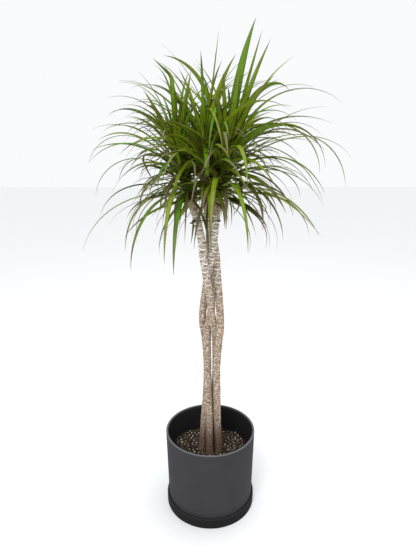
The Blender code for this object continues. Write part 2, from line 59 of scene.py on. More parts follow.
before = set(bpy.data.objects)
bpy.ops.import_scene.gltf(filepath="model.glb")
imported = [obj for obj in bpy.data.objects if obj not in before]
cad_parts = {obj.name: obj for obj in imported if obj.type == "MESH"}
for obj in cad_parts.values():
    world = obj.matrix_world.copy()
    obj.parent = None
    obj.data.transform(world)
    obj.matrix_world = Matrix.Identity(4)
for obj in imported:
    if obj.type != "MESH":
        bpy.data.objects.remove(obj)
CAD_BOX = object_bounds()
POT_LOW, POT_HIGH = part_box("pot")
SAUCER_LOW, SAUCER_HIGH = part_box("saucer")
SOIL_LOW, SOIL_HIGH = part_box("soil")

# Pot and saucer
POT_BASE_RADIUS = 0.1440
POT_FLOOR = 0.008
DRAIN_RADIUS = 0.009
SAUCER_FLOOR = 0.006
TURN_SIDES = 144
EDGE_STEPS = 6
MERGE_DISTANCE = 0.00001
SHARP_ANGLE = math.radians(40)
# Heights from the rim over which the inside's painted shade ends and the lighter rim band starts, partly
# rubbed wear and partly painted highlight; how uneven they are, over what distance the shade fades outwards,
# and its colour
SHADED_BAND = (-0.012, -0.001)
WORN_AND_HIGHLIT_BAND = (-0.0016, 0.0008)
RIM_UNEVENNESS = 0.002
SHADE_FADE = 0.002
SHADED_CLAY = (0.007, 0.007, 0.0075)

# Soil
SOIL_TOP = 0.186
SOIL_MOUND = 0.006
SOIL_MOUND_SPREAD = 0.06
SOIL_RINGS = 44
SOIL_SIDES = 120
# Lumps of the soil: waves to the metre, place in the noise, and share of their height
SOIL_LUMPS = [(45, 0.3, 1.0), (150, 4.1, 0.45)]
# Bits on it: kind, its size, its least and largest proportions, and how far its surface is pushed about
SOIL_BITS = [
    ("Bark", "Bark size", (0.25, 0.16, 0.12), (1.0, 0.5, 0.28), 0.006),
    ("Grain", "Grain size", (0.3, 0.3, 0.3), (1.0, 0.9, 0.8), 0.003),
    ("Fibre", "Fibre length", (0.3, 0.025, 0.03), (1.0, 0.05, 0.05), 0.009),
]
# Most bits to the square metre, how far they tilt in radians, and the waves that make them uneven
BIT_DENSITY = 200000.0
BIT_TILT = 0.5
BIT_WAVES = 220.0
STRETCH_SEED = 3
NOISE_MIDDLE = 0.5

# Canes
CANE_RADIUS = 0.0117
CANE_FOOT_RADIUS = 0.0131
CANE_FOOT_FADE = 0.05
CANE_END = 0.112
DIRECTION_STEP = 0.001
PATH_STEP = 0.004
# The height from scar to scar changes high up: where that starts and over what height, and how much and
# how fast it drifts all along
UPPER_START = 0.58
UPPER_FADE = 0.2
PITCH_DRIFT = 0.4
DRIFT_WAVES = 11.0
DRIFT_STEP = 5.0
# Count of scars by which one cane, or one tip, starts after the one before
CANE_SCAR_STEP = 17.3
TIP_SCAR_STEP = 11.7
# Relief of a stem: waves of its roughness to the metre, the level that this is measured from, and the height
# of a scar's inside, where its lip is 1
STEM_ROUGHNESS_WAVES = 90.0
ROUGHNESS_LEVEL = 1.0
INSIDE_HEIGHT = 0.5
# Leaf scars: half of a scar's height as a share of the pitch, half of its width in turns of the cane
SCAR_HALF_HEIGHT = 0.95
SCAR_HALF_TURN = 0.215
SCAR_JITTER = 0.3
SCAR_TURN_JITTER = 0.05
SCAR_END_FADE = (-0.06, 0.08)
LIP_FADE = (0.35, 1.0)
UPPER_LIP_THINNING = 2.2
# Scars that may reach a place, counted from the one just below it
SCARS_IN_REACH = (-1, 0, 1, 2)
# Heights over which the bark stops being dark, worn, flecked and weathered, and turns to husk
FOOT_HEIGHTS = (0.25, 0.37)
WORN_FOOT_HEIGHTS = (0.26, 0.40)
FLECKED_HEIGHTS = (0.72, 0.90)
WEATHERED_HEIGHTS = (0.74, 0.96)
HUSK_HEIGHTS = (1.01, 1.06)
HEIGHT_UNEVENNESS = 0.05
# Middles of the scraped patches on the middle cane, how far they reach, and how uneven that is
SCRAPE_PLACES = ((0.044, -0.030, 0.640), (0.031, 0.002, 0.865), (0.029, 0.003, 0.900))
SCRAPE_REACH = (0.018, 0.030)
SCRAPE_UNEVENNESS = 0.02
# Routes of the canes: the heights of their points from the end in the soil to the last but one, each cane's
# top, and its x and y at all of them
ROUTE_HEIGHTS = (
    CANE_END, SOIL_TOP + 0.01, 0.310, 0.430, 0.520, 0.610, 0.655, 0.700, 0.760, 0.820, 0.880, 0.940, 1.000,
)
CANE_TOPS = {"left": 1.045, "right": 1.050, "middle": 1.050, "back": 1.045}
ROUTE_PLACES = {
    "left": [
        (0.004, 0.016), (0.004, 0.016), (0.007, 0.013), (0.016, 0.010), (0.019, 0.006), (0.017, 0.000),
        (0.012, -0.009), (0.004, -0.013), (-0.001, -0.020), (-0.011, -0.028), (-0.020, -0.027),
        (-0.027, -0.016), (-0.041, -0.008), (-0.056, -0.003),
    ],
    "right": [
        (-0.027, 0.002), (-0.027, 0.002), (-0.020, 0.009), (-0.012, 0.017), (-0.011, 0.022),
        (-0.018, 0.027), (-0.025, 0.028), (-0.023, 0.020), (-0.016, 0.006), (-0.008, 0.001),
        (0.003, -0.012), (0.011, -0.020), (0.017, -0.017), (0.023, -0.012),
    ],
    "middle": [
        (0.028, -0.002), (0.028, -0.002), (0.024, -0.009), (0.022, -0.017), (0.021, -0.022),
        (0.027, -0.027), (0.032, -0.025), (0.031, -0.018), (0.027, -0.008), (0.022, 0.001), (0.018, 0.011),
        (0.007, 0.008), (-0.005, 0.000), (-0.010, -0.005),
    ],
    "back": [
        (-0.002, -0.014), (-0.002, -0.014), (-0.003, -0.013), (-0.007, -0.009), (-0.008, -0.005),
        (-0.009, 0.002), (-0.007, 0.009), (0.004, 0.016), (0.004, 0.024), (-0.001, 0.028), (-0.003, 0.030),
        (-0.002, 0.033), (0.003, 0.035), (0.008, 0.039),
    ],
}
CANE_ROUTES = {
    side: [(height, *place) for height, place in zip((*ROUTE_HEIGHTS, CANE_TOPS[side]), places)]
    for side, places in ROUTE_PLACES.items()
}

# Tie round the canes
TIE_HEIGHT = 0.992
TIE_RADIUS = 0.0015
TIE_POINTS = 96
TIE_SAG = 0.0012
TIE_WAVES = 3
PLASTIC_GRAIN = (0.05, 0.05, 0.05)
KNOT_ANGLE = math.radians(235)
KNOT_RADIUS = 0.0034
KNOT_POINTS = 40
KNOT_TURNS = 2.5
END_POINTS = 24
END_TURNS = 1.5
END_FALL = 0.5

# Leafy heads: apex is where the head's core ends; width and length are of its leaves
GOLDEN_ANGLE = math.radians(137.508)
HEADS = {
    "left": {"apex": (-0.103, 0.006, 1.200), "leaves": 50, "width": 0.0110, "length": 0.305, "seed": 55},
    "middle": {"apex": (-0.016, -0.014, 1.225), "leaves": 46, "width": 0.0125, "length": 0.310, "seed": 21},
    "right": {"apex": (0.058, -0.014, 1.205), "leaves": 44, "width": 0.0130, "length": 0.330, "seed": 32},
    "back": {"apex": (0.024, 0.085, 1.190), "leaves": 44, "width": 0.0110, "length": 0.320, "seed": 6},
}
# Leaves that stand out on each head: place up the core, azimuth, rise and fall in degrees, length, width, and
# for some the roll that shows their face, how late they droop, and where and how far they crease
STANDOUT_LEAVES = {
    "left": [
        (0.75, -125, 87, 80, 0.31, 0.013, 30, 1.5, 0.72, 56), (0.92, -20, 80, 76, 0.22, 0.013, -50),
        (0.75, 155, 85, -5, 0.33, 0.010), (0.60, -160, 85, -20, 0.32, 0.010),
        (0.50, -150, 60, -25, 0.31, 0.010), (0.50, 165, 55, -70, 0.37, 0.009),
        (0.35, -150, 45, -85, 0.33, 0.010), (0.15, -160, 5, -75, 0.37, 0.010),
        (0.10, 135, 0, -88, 0.45, 0.010), (0.12, -118, 8, -90, 0.37, 0.010),
        (0.10, -95, 10, -90, 0.38, 0.012), (0.25, -97, 15, -88, 0.40, 0.011),
        (0.40, -110, 50, -88, 0.22, 0.012),
    ],
    "middle": [
        (0.50, 20, 84, 13, 0.360, 0.008, 0, 2.8), (0.90, 38, 81, 82, 0.31, 0.010, -60),
        (0.85, 60, 76, 80, 0.27, 0.010, -40), (0.85, -40, 79, 48, 0.26, 0.014, -30),
        (0.70, 180, 70, 0, 0.33, 0.012), (0.80, 150, 71, 48, 0.28, 0.010),
        (0.15, -87, 15, -88, 0.34, 0.009), (0.85, -86, 35, -88, 0.21, 0.011, 0, 0.6, 0.72, -135),
        (0.70, -125, 15, -88, 0.20, 0.013, 0, 0.9),
    ],
    "right": [
        (0.85, -34, 85, 66, 0.35, 0.022, -40), (0.80, -45, 83, 76, 0.23, 0.018, -30),
        (0.75, 16, 76, 73, 0.355, 0.013, -60), (0.80, -15, 75, 63, 0.32, 0.014, -50),
        (0.70, -22, 71, -60, 0.300, 0.021, -40, 4.0), (0.60, -15, 75, -45, 0.43, 0.011),
        (0.65, 5, 80, -20, 0.37, 0.010), (0.50, 20, 50, 0, 0.39, 0.010),
        (0.55, -30, 60, -88, 0.395, 0.016, -25), (0.45, 22, 44, -87, 0.55, 0.011),
        (0.35, -45, 36, -60, 0.38, 0.013), (0.15, -50, 14, -52, 0.38, 0.012),
        (0.20, -78, 20, -90, 0.37, 0.011), (0.50, -78, 50, -88, 0.32, 0.013),
        (0.30, -96, 22, -88, 0.34, 0.014), (0.92, -30, 56, -88, 0.355, 0.017, 0, 1.1),
        (0.25, -37, 12, -48, 0.345, 0.010, 0, 0.9), (0.95, -26, 27, -68, 0.330, 0.010, 0, 0.8),
    ],
    "back": [
        (0.80, 180, 89, 4, 0.36, 0.018, 40, 2.2), (0.75, 170, 84, 36, 0.38, 0.010),
    ],
}
# Most of them are fresh: the highest tone, where 1 is darkest, and the age of one at the foot of the core
STANDOUT_TONE = 0.45
STANDOUT_AGE = 0.6
CORE_RADII = [(0.0, 0.0121), (0.12, 0.0145), (0.4, 0.0140), (0.75, 0.0135), (1.0, 0.0070)]
CORE_BOW = 0.45

# Shape along a leaf, as shares of its length and width
NECK_WIDTH = 0.62
WIDEST_AT = 0.33
SWEEP_POWER = 2
ROLL_END = 0.4
CLASP_WIDTH = 0.9
CLASP_END = 0.08
TIP_WIDTH = 0.03
# Where a blade's thickness and its fold start and stop changing along it, and their shares there
THIN_RANGE = (0.5, 1.0, 0.5, 0.2)
FOLD_RANGE = (0.0, 0.2, 2.5, 1.0)
# Height in the blade's section, from -1 to 1, below which a point is on the underside
UNDERSIDE = -0.1

# Waves of a leaf's veins across and along it, and how far they shift with its tone
VEIN_WAVES = (9.0, 3.0, 90.0)
# How far a leaf's age and its own tone darken it
AGE_SHADE = 0.55
TONE_SHADE = 0.65

# Rule for the other leaves, from the foot of the core to its apex; angles in degrees
LEAF_PLACES = (0.04, 0.96)
LEAF_CROWDING = 0.85
ROOT_DEPTH = 0.5
RISE_FROM_TO = (-8, 80)
RISE_POWER = 0.85
FALL_FROM_TO = (-84, 21)
FALL_POWER = 1.7
LENGTH_AT_ENDS = 0.78
LENGTH_SWELL = 0.30
TURN_SPREAD = 20
RISE_SPREAD = 17
FALL_SPREAD = 28
SWEEP_SPREAD = 16
ROLL_SPREAD = 40
LENGTH_SPREAD = (0.74, 1.12)
WIDTH_SPREAD = (0.55, 1.05)
DROOP_SPREAD = (1.1, 2.3)
TAPER_SPREAD = (1.3, 2.4)
SHORT_SHARE = 0.3
SHORT_SPREAD = (0.45, 0.8)
CREASED_SHARE = 0.06
CREASE_PLACES = (0.3, 0.75)
CREASE_SPREAD = (50, 110)
CREASE_LENGTH = 0.03
DRIED_SHARE = 0.12
DRY_SPREAD = (0.08, 0.25)
FRESH_DRYNESS = 0.02
LEAF_STEPS = 66
LEAF_CLEARANCE = 0.002
CLEAR_FROM = 0.1
LEAF_TRIES = 30

# Photograph's camera: its frame in pixels, its focal length in them, its place and its tilt, and the width of
# its sensor in millimetres
FRAME_WIDTH = 416
FRAME_HEIGHT = 555
FOCAL_PIXELS = 456.59
CAMERA_PLACE = (0.0, -1.3524, 1.2103)
CAMERA_PITCH = 0.2858
CAMERA_YAW = 0.005
CAMERA_ROLL = -0.0018
SENSOR = 36.0

# Stage: how far the floor reaches, and the side, place and target of each light
FLOOR_REACH = 12.0
LIGHTS = {
    "key light": (1.0, (-0.7, -2.0, 2.9), (0.0, 0.0, 0.9)),
    "top light": (1.8, (0.5, 0.2, 3.2), (0.0, 0.0, 0.8)),
}


# Numbers and directions

def between(low, high, share):
    return low + (high - low) * share


def clamped(value):
    return min(max(value, 0.0), 1.0)


def even_steps(count):
    """Evenly spaced numbers from 0 to 1."""
    return [index / count for index in range(count + 1)]


def towards(angle):
    """Level direction at an angle from the X axis."""
    return Vector((math.cos(angle), math.sin(angle), 0.0))


# Settings that a user may change

def length_setting(name, description, default):
    return bpy.props.FloatProperty(name=name, description=description, default=default, min=0.0,
                                   unit="LENGTH", precision=4)


def number_setting(name, description, default, high=10.0):
    return bpy.props.FloatProperty(name=name, description=description, default=default, min=0.0, max=high)


def count_setting(name, description, default):
    return bpy.props.IntProperty(name=name, description=description, default=default, min=0)


def colour_setting(name, description, default):
    return bpy.props.FloatVectorProperty(name=name, description=description, default=default, size=3,
                                         min=0.0, max=1.0, subtype="COLOR")


class PotSettings(bpy.types.PropertyGroup):
    """Pot and saucer"""
    wall: length_setting("Wall", "Thickness of the pot's wall", 0.0065)
    edge: length_setting("Edge", "Round of the pot's edges", 0.0016)
    saucer_wall: length_setting("Saucer wall", "Thickness of the saucer's wall", 0.0045)
    saucer_edge: length_setting("Saucer edge", "Round of the saucer's edges", 0.0015)
    clay: colour_setting("Clay", "Matte charcoal of the pot", (0.034, 0.0332, 0.0355))
    saucer_clay: colour_setting("Saucer clay", "Darker charcoal of the saucer", (0.0085, 0.0080, 0.0080))
    # Lighter clay for the grain and cloudy tone, and for the rim band: rubbed wear and painted highlight
    worn_and_highlit: colour_setting("Rubbed edge", "Lighter clay where the rim is rubbed", (0.15, 0.15, 0.155))


class SoilSettings(bpy.types.PropertyGroup):
    """Soil, bark bits, fibres and pale grains"""
    lump: length_setting("Lumps", "Height of the soil's lumps", 0.0035)
    bark_spacing: length_setting("Bark spacing", "Least distance between bark bits", 0.0046)
    bark_size: length_setting("Bark size", "Length of a large bark bit", 0.0155)
    grain_spacing: length_setting("Grain spacing", "Least distance between pale grains", 0.0130)
    grain_size: length_setting("Grain size", "Width of a large pale grain", 0.0080)
    fibre_spacing: length_setting("Fibre spacing", "Least distance between fibres", 0.012)
    fibre_length: length_setting("Fibre length", "Length of a long fibre", 0.024)
    earth: colour_setting("Earth", "Fine soil between the bits", (0.007, 0.005, 0.004))
    bark: colour_setting("Bark bits", "Lightest brown of the bark bits", (0.130, 0.085, 0.052))
    grain: colour_setting("Grains", "White of the pale grains", (0.80, 0.77, 0.70))
    fibre: colour_setting("Fibres", "Tan of the fibres", (0.30, 0.24, 0.16))
    seed: count_setting("Seed", "Number that the bits' places are drawn from", 5)


class CaneSettings(bpy.types.PropertyGroup):
    """Bare canes, their leaf scars and the leafy tips above them"""
    sides: count_setting("Sides", "Sides of a cane", 44)
    ring_spacing: length_setting("Ring spacing", "Distance between the rings of a cane's mesh", 0.0014)
    wide_pitch: length_setting("Wide scar pitch", "Height from scar to scar high on the left cane", 0.0078)
    fine_pitch: length_setting("Fine scar pitch", "Height from scar to scar high on the others", 0.0070)
    low_pitch: length_setting("Low scar pitch", "Height from scar to scar on the lower canes", 0.0072)
    tip_pitch: length_setting("Tip scar pitch", "Height from scar to scar among the leaves", 0.0032)
    lip_width: number_setting("Lip width", "Width of a scar's pale lip, as a share of the pitch", 0.36)
    relief: length_setting("Relief", "Height of a scar's lip", 0.0005)
    bark: colour_setting("Bark", "Grey tan of the bark", (0.42, 0.365, 0.29))
    lip: colour_setting("Lip", "Pale lips of the leaf scars", (0.94, 0.90, 0.83))
    groove: colour_setting("Groove", "Brown between the scars", (0.165, 0.110, 0.070))
    browning: number_setting("Browning", "How brown all canes but the pale left one are", 0.7, high=1.0)
    weathered: colour_setting("Weathered", "Tan of the lower canes", (0.285, 0.190, 0.112))
    scraped: colour_setting("Scraped", "Orange tan where the bark is scraped off", (0.46, 0.27, 0.13))
    foot: colour_setting("Foot", "Dark brown near the soil", (0.150, 0.085, 0.055))
    husk: colour_setting("Husk", "Brown tan just under the leaves", (0.24, 0.155, 0.085))
    sprout: colour_setting("Sprout", "Olive of the tips among the leaves", (0.075, 0.075, 0.014))


class TieSettings(bpy.types.PropertyGroup):
    """Garden tie"""
    plastic: colour_setting("Plastic", "Black of the tie", (0.012, 0.012, 0.012))
    sides: count_setting("Sides", "Sides of the tie", 10)
    end_length: length_setting("Ends", "How far the tie's two twisted ends reach", 0.012)


class LeafSettings(bpy.types.PropertyGroup):
    """Leafy heads"""
    fullness: number_setting("Fullness", "Leaves for each leaf of the plain model", 2.1)
    broadness: number_setting("Broadness", "Width of a blade, as a share of the plain model's", 1.2)
    thickness: length_setting("Thickness", "Thickness of a blade at its midrib", 0.0009)
    fold: number_setting("Fold", "How far a blade's edges rise, as a share of its half width", 0.28)
    segments: count_setting("Segments", "Segments along a blade", 22)
    section_points: count_setting("Section points", "Points round a blade", 8)
    fresh: colour_setting("Fresh", "Yellow green of the young leaves", (0.205, 0.305, 0.003))
    deep: colour_setting("Deep", "Purer green of some leaves", (0.050, 0.220, 0.003))
    dark: colour_setting("Dark", "Dark green of the old leaves", (0.033, 0.042, 0.002))
    pale: colour_setting("Pale", "Pale foot, midrib and underside of a leaf", (0.28, 0.36, 0.035))
    margin: colour_setting("Margin", "Dark red margin of a leaf", (0.075, 0.022, 0.012))
    dry: colour_setting("Dry", "Grey brown of a dry tip", (0.16, 0.11, 0.08))


class StageSettings(bpy.types.PropertyGroup):
    """Floor and light"""
    floor: colour_setting("Floor", "Pale floor", (0.93, 0.93, 0.93))
    sky: colour_setting("Surroundings", "Pale light from all round", (0.97, 0.98, 1.0))
    sky_strength: number_setting("Surroundings strength", "Strength of the light from all round", 0.98)
    key_power: number_setting("Key light", "Watts of the large soft light in front", 40.0, high=500.0)
    top_power: number_setting("Top light", "Watts of the soft light above", 20.0, high=500.0)


SETTINGS = {
    "tree_pot": PotSettings,
    "tree_soil": SoilSettings,
    "tree_canes": CaneSettings,
    "tree_tie": TieSettings,
    "tree_leaves": LeafSettings,
    "tree_stage": StageSettings,
}


# Node trees

def tree_of(*values):
    """Tree of the first socket among some values."""
    return next(value.id_data for value in values if isinstance(value, bpy.types.NodeSocket))


def feed(value, socket):
    """Link a socket to another one, or set it to a plain value."""
    if isinstance(value, bpy.types.NodeSocket):
        socket.id_data.links.new(value, socket)
    else:
        socket.default_value = value


def add_node(tree, kind, inputs=None, **settings):
    """Add a node; an input is given as a value or as the socket that it is linked from."""
    made = tree.nodes.new(kind)
    for name, value in settings.items():
        setattr(made, name, value)
    for key, value in (inputs or {}).items():
        feed(value, made.inputs[key])
    return made


def output_of(tree, kind, output, inputs=None, **settings):
    """Add a node and give one of its outputs."""
    return add_node(tree, kind, inputs, **settings).outputs[output]


def maths(operation, *values):
    """Maths of values, at least one of them a socket."""
    return output_of(tree_of(*values), "ShaderNodeMath", "Value", dict(enumerate(values)),
                     operation=operation)


def plus(first, second):
    return maths("ADD", first, second)


def minus(first, second):
    return maths("SUBTRACT", first, second)


def times(first, second):
    return maths("MULTIPLY", first, second)


def vector_maths(operation, *values, output="Vector"):
    return output_of(tree_of(*values), "ShaderNodeVectorMath", output, dict(enumerate(values)),
                     operation=operation)


def scaled(vector, scale):
    return output_of(vector.id_data, "ShaderNodeVectorMath", "Vector", {"Vector": vector, "Scale": scale},
                     operation="SCALE")


def split(vector):
    """The parts X, Y and Z of a vector."""
    return add_node(vector.id_data, "ShaderNodeSeparateXYZ", {"Vector": vector}).outputs


def ramp(value, low, high, before=0.0, after=1.0):
    """Smooth step from one number to another while a value goes from low to high."""
    return output_of(value.id_data, "ShaderNodeMapRange", "Result",
                     {"Value": value, "From Min": low, "From Max": high, "To Min": before, "To Max": after},
                     interpolation_type="SMOOTHSTEP")


def white_noise(value):
    return output_of(value.id_data, "ShaderNodeTexWhiteNoise", "Value", {"W": value}, noise_dimensions="1D")


def noise_node(place, scale, detail=3.0, roughness=0.55, output="Fac"):
    return output_of(place.id_data, "ShaderNodeTexNoise", output,
                     {"Vector": place, "Scale": scale, "Detail": detail, "Roughness": roughness})


def new_tree(name, **inputs):
    """Geometry tree with a mesh input, named inputs of each kind and a mesh output."""
    tree = bpy.data.node_groups.new(name, "GeometryNodeTree")
    tree.is_modifier = True
    for kind, labels in {"Geometry": ["Geometry"], **inputs}.items():
        for label in labels:
            tree.interface.new_socket(label, in_out="INPUT", socket_type="NodeSocket" + kind)
    tree.interface.new_socket("Geometry", in_out="OUTPUT", socket_type="NodeSocketGeometry")
    return tree, add_node(tree, "NodeGroupInput").outputs


def end_tree(geometry):
    """Close a tree with its output node."""
    add_node(geometry.id_data, "NodeGroupOutput", {"Geometry": geometry})


def place_of(tree):
    return output_of(tree, "GeometryNodeInputPosition", "Position")


def stored(geometry, name, value):
    """Store a value of each point, a number or a vector, under a name."""
    kind = "FLOAT_VECTOR" if value.type == "VECTOR" else "FLOAT"
    return output_of(geometry.id_data, "GeometryNodeStoreNamedAttribute", "Geometry",
                     {"Geometry": geometry, "Name": name, "Value": value}, data_type=kind, domain="POINT")


def read(tree, name, kind="FLOAT"):
    """Read a value of each point by its name."""
    return output_of(tree, "GeometryNodeInputNamedAttribute", "Attribute", {"Name": name}, data_type=kind)


def read_vector(tree, name):
    return read(tree, name, "FLOAT_VECTOR")


def moved(geometry, how, value):
    """Move each point, to a "Position" or by an "Offset"."""
    return output_of(geometry.id_data, "GeometryNodeSetPosition", "Geometry",
                     {"Geometry": geometry, how: value})


def realized(geometry):
    return output_of(geometry.id_data, "GeometryNodeRealizeInstances", "Geometry", {"Geometry": geometry})


def finished(geometry, finish):
    """Make instances real and give the result its material."""
    return output_of(geometry.id_data, "GeometryNodeSetMaterial", "Geometry",
                     {"Geometry": realized(geometry), "Material": finish})


def swept_tube(geometry, sides, values, spacing=None):
    """Tube of radius 1 along the edges of a mesh; it keeps its "centre" and named values of its section."""
    tree = geometry.id_data
    curve = output_of(tree, "GeometryNodeMeshToCurve", "Curve", {"Mesh": geometry})
    if spacing:
        curve = output_of(tree, "GeometryNodeResampleCurve", "Curve", {"Curve": curve, "Length": spacing},
                          mode="LENGTH")
    curve = stored(curve, "centre", place_of(tree))
    section = output_of(tree, "GeometryNodeCurvePrimitiveCircle", "Curve",
                        {"Resolution": sides, "Radius": 1.0})
    for name, value in values.items():
        section = stored(section, name, value)
    return output_of(tree, "GeometryNodeCurveToMesh", "Mesh",
                     {"Curve": curve, "Profile Curve": section, "Fill Caps": True})


def pushed_out(tube, reach):
    """Set how far the points of a tube are from its centre."""
    centre = read_vector(tube.id_data, "centre")
    outward = vector_maths("NORMALIZE", vector_maths("SUBTRACT", place_of(tube.id_data), centre))
    return moved(tube, "Position", vector_maths("ADD", centre, scaled(outward, reach)))


# Meshes and pieces

def chains_mesh(name, chains, values):
    """Chains of points joined by edges, with lists of numbers or vectors on the points, under their names."""
    points = [point for chain in chains for point in chain]
    edges = []
    start = 0
    for chain in chains:
        end = start + len(chain)
        edges += [(index, index + 1) for index in range(start, end - 1)]
        start = end
    mesh = bpy.data.meshes.new(name)
    mesh.from_pydata(points, edges, [])
    for label, numbers in values.items():
        is_vector = isinstance(numbers[0], Vector)
        layer = mesh.attributes.new(label, "FLOAT_VECTOR" if is_vector else "FLOAT", "POINT")
        flat = [part for number in numbers for part in number] if is_vector else numbers
        layer.data.foreach_set("vector" if is_vector else "value", flat)
    return mesh


def add_object(name, data):
    made = bpy.data.objects.new(name, data)
    bpy.context.scene.collection.objects.link(made)
    return made


def grown_mesh(name, source, tree, settings, **finishes):
    """Run a node tree on a mesh, and return the result as a plain mesh. Each input of the tree is named as
    one of the settings or finishes."""
    seed = add_object(name, source)
    modifier = seed.modifiers.new(tree.name, "NODES")
    modifier.node_group = tree
    for item in tree.interface.items_tree:
        if item.socket_type == "NodeSocketMaterial":
            modifier[item.identifier] = finishes[item.name]
        elif item.socket_type != "NodeSocketGeometry":
            modifier[item.identifier] = getattr(settings, item.name.lower().replace(" ", "_"))
    seed.update_tag()
    bpy.context.view_layer.update()
    mesh = bpy.data.meshes.new_from_object(seed.evaluated_get(bpy.context.evaluated_depsgraph_get()))
    seed.modifiers.clear()
    bpy.data.objects.remove(seed, do_unlink=True)
    bpy.data.meshes.remove(source)
    if not mesh.polygons:
        raise RuntimeError("%s came out empty" % name)
    return mesh


def grown_body(name, source, tree, settings, finish, spare):
    """Grow a mesh, drop its spare attributes, turn its closed bodies outwards and shade it smooth."""
    mesh = grown_mesh(name, source, tree, settings, Material=finish)
    drop_attributes(mesh, spare)
    shape = bmesh.new()
    shape.from_mesh(mesh)
    return smooth_mesh(shape, mesh)


def smooth_mesh(shape, mesh):
    """Fill a mesh from a shape whose closed bodies are turned outwards, and shade it smooth."""
    bmesh.ops.recalc_face_normals(shape, faces=shape.faces)
    shape.to_mesh(mesh)
    shape.free()
    mesh.shade_smooth()
    return mesh


def drop_attributes(mesh, names):
    for name in names:
        mesh.attributes.remove(mesh.attributes[name])


def place_piece(name, mesh, slot, *nodes):
    """Add a finished piece to the scene in place of the model's plain nodes."""
    mesh.name = name
    piece = add_object(name, mesh)
    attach(piece, "root")
    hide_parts(*nodes)


# Finishes

def new_finish(name, **values):
    """Material with its Principled shader, whose plain values are set on its own sockets."""
    made = bpy.data.materials.new(name)
    made.use_nodes = True
    tree = made.node_tree
    shader = tree.nodes["Principled BSDF"]
    for label, value in values.items():
        shader.inputs[label.replace("_", " ")].default_value = value
    return made, tree, shader


def rgba(colour):
    """A colour with its alpha; a socket is left as it is."""
    return colour if isinstance(colour, bpy.types.NodeSocket) else (*colour, 1.0)


def mixed(share, first, second):
    """Mix of two colours; each is a socket or a plain colour."""
    return output_of(share.id_data, "ShaderNodeMix", "Result",
                     {"Factor": share, "A": rgba(first), "B": rgba(second)}, data_type="RGBA")


def layered(body, *layers):
    """A colour under layers of others. Each layer has its colour, the value that it follows, the range of
    that value over which it changes, its shares before and after, and at times a value that weakens it."""
    for colour, value, span, shares, *weaker in layers:
        share = ramp(value, *span, *shares)
        for other in weaker:
            share = times(other, share)
        body = mixed(share, body, colour)
    return body


def object_place(tree):
    return output_of(tree, "ShaderNodeTexCoord", "Object")


def attribute(tree, name, output="Fac"):
    return output_of(tree, "ShaderNodeAttribute", output, attribute_name=name)


def end_finish(shader, colour, height, distance, strength=1.0):
    """Give a shader its colour and a relief by a height."""
    feed(colour, shader.inputs["Base Color"])
    relief = output_of(shader.id_data, "ShaderNodeBump", "Normal",
                       {"Height": height, "Distance": distance, "Strength": strength})
    feed(relief, shader.inputs["Normal"])


def clay_finish(name, clay, worn_and_highlit, rim_height, inner_radius):
    """Matte fired clay: fine grain, faint cloudy tone, a rim lighter with rubbed wear and painted highlight,
    darker inside with painted shade.
    """
    made, tree, shader = new_finish(name, Specular_IOR_Level=0.15)
    place = object_place(tree)
    cloud = noise_node(place, scale=14.0)
    grain = noise_node(place, scale=900.0, detail=2.0)
    apart = split(place)
    radius = maths("SQRT", plus(times(apart["X"], apart["X"]), times(apart["Y"], apart["Y"])))
    above_rim = minus(plus(apart["Z"], times(grain, RIM_UNEVENNESS)), rim_height)
    inside = ramp(radius, inner_radius, inner_radius + SHADE_FADE, 1.0, 0.0)
    body = layered(
        clay,
        (worn_and_highlit, cloud, (0.3, 0.7), (0.0, 0.05)),
        (worn_and_highlit, grain, (0.35, 0.75), (0.0, 0.07)),
        # Painted shade on the inside of the wall, below the rim
        (SHADED_CLAY, above_rim, SHADED_BAND, (0.8, 0.0), inside),
        # Lighter band round the top of the rim: partly rubbed wear, partly painted highlight
        (worn_and_highlit, above_rim, WORN_AND_HIGHLIT_BAND, (0.0, 0.8)),
    )
    feed(ramp(cloud, 0.2, 0.8, 0.70, 0.85), shader.inputs["Roughness"])
    end_finish(shader, body, grain, distance=0.00012, strength=0.6)
    return made


def earth_finish(name, earth, bit):
    """Fine damp soil with lighter crumbs."""
    made, tree, shader = new_finish(name, Roughness=0.95, Specular_IOR_Level=0.2)
    crumbs = noise_node(object_place(tree), scale=420.0, detail=4.0, roughness=0.7)
    end_finish(shader, layered(earth, (bit, crumbs, (0.45, 0.75), (0.0, 1.0))), crumbs, distance=0.001)
    return made


def bit_finish(name, body, dark, roughness, evenness):
    """Bits on the soil: each has its own tone, and the more even they are, the fewer are dark."""
    made, tree, shader = new_finish(name, Roughness=roughness, Specular_IOR_Level=0.25)
    fibre = noise_node(object_place(tree), scale=700.0)
    body = mixed(maths("POWER", attribute(tree, "tone"), evenness), body, dark)
    end_finish(shader, layered(body, (dark, fibre, (0.35, 0.7), (0.0, 0.4))), fibre, distance=0.0004)
    return made


def bark_finish(name, canes, brown=0.0, tip=False):
    """Grey tan bark with pale scar lips and brown grooves, dark near the soil; olive on a leafy tip."""
    made, tree, shader = new_finish(name, Roughness=0.8, Specular_IOR_Level=0.25)
    place = object_place(tree)
    blotch = noise_node(place, scale=70.0, detail=4.0, roughness=0.6)
    fine = noise_node(place, scale=600.0)
    facing = attribute(tree, "facing", "Vector")
    lip, inside = scar_pattern(tree, attribute(tree, "scars"), facing, canes.lip_width)
    bark, groove, pale = canes.bark, canes.groove, canes.lip
    if tip:
        bark, groove, pale = canes.sprout, canes.foot, canes.husk
    body = layered(
        bark,
        (groove, inside, (0.0, 1.0), (0.9, brown)),
        (groove, blotch, (0.42, 0.70), (0.0, 0.5)),
        (pale, fine, (0.40, 0.70), (0.0, 0.35)),
    )
    worn = times(lip, ramp(blotch, 0.45, 0.75, 1.0, 0.35))
    if tip:
        body = mixed(worn, body, pale)
    else:
        body = weathered(body, worn, canes, place, blotch)
    end_finish(shader, body, plus(times(lip, 0.5), fine), distance=0.0006, strength=0.7)
    return made


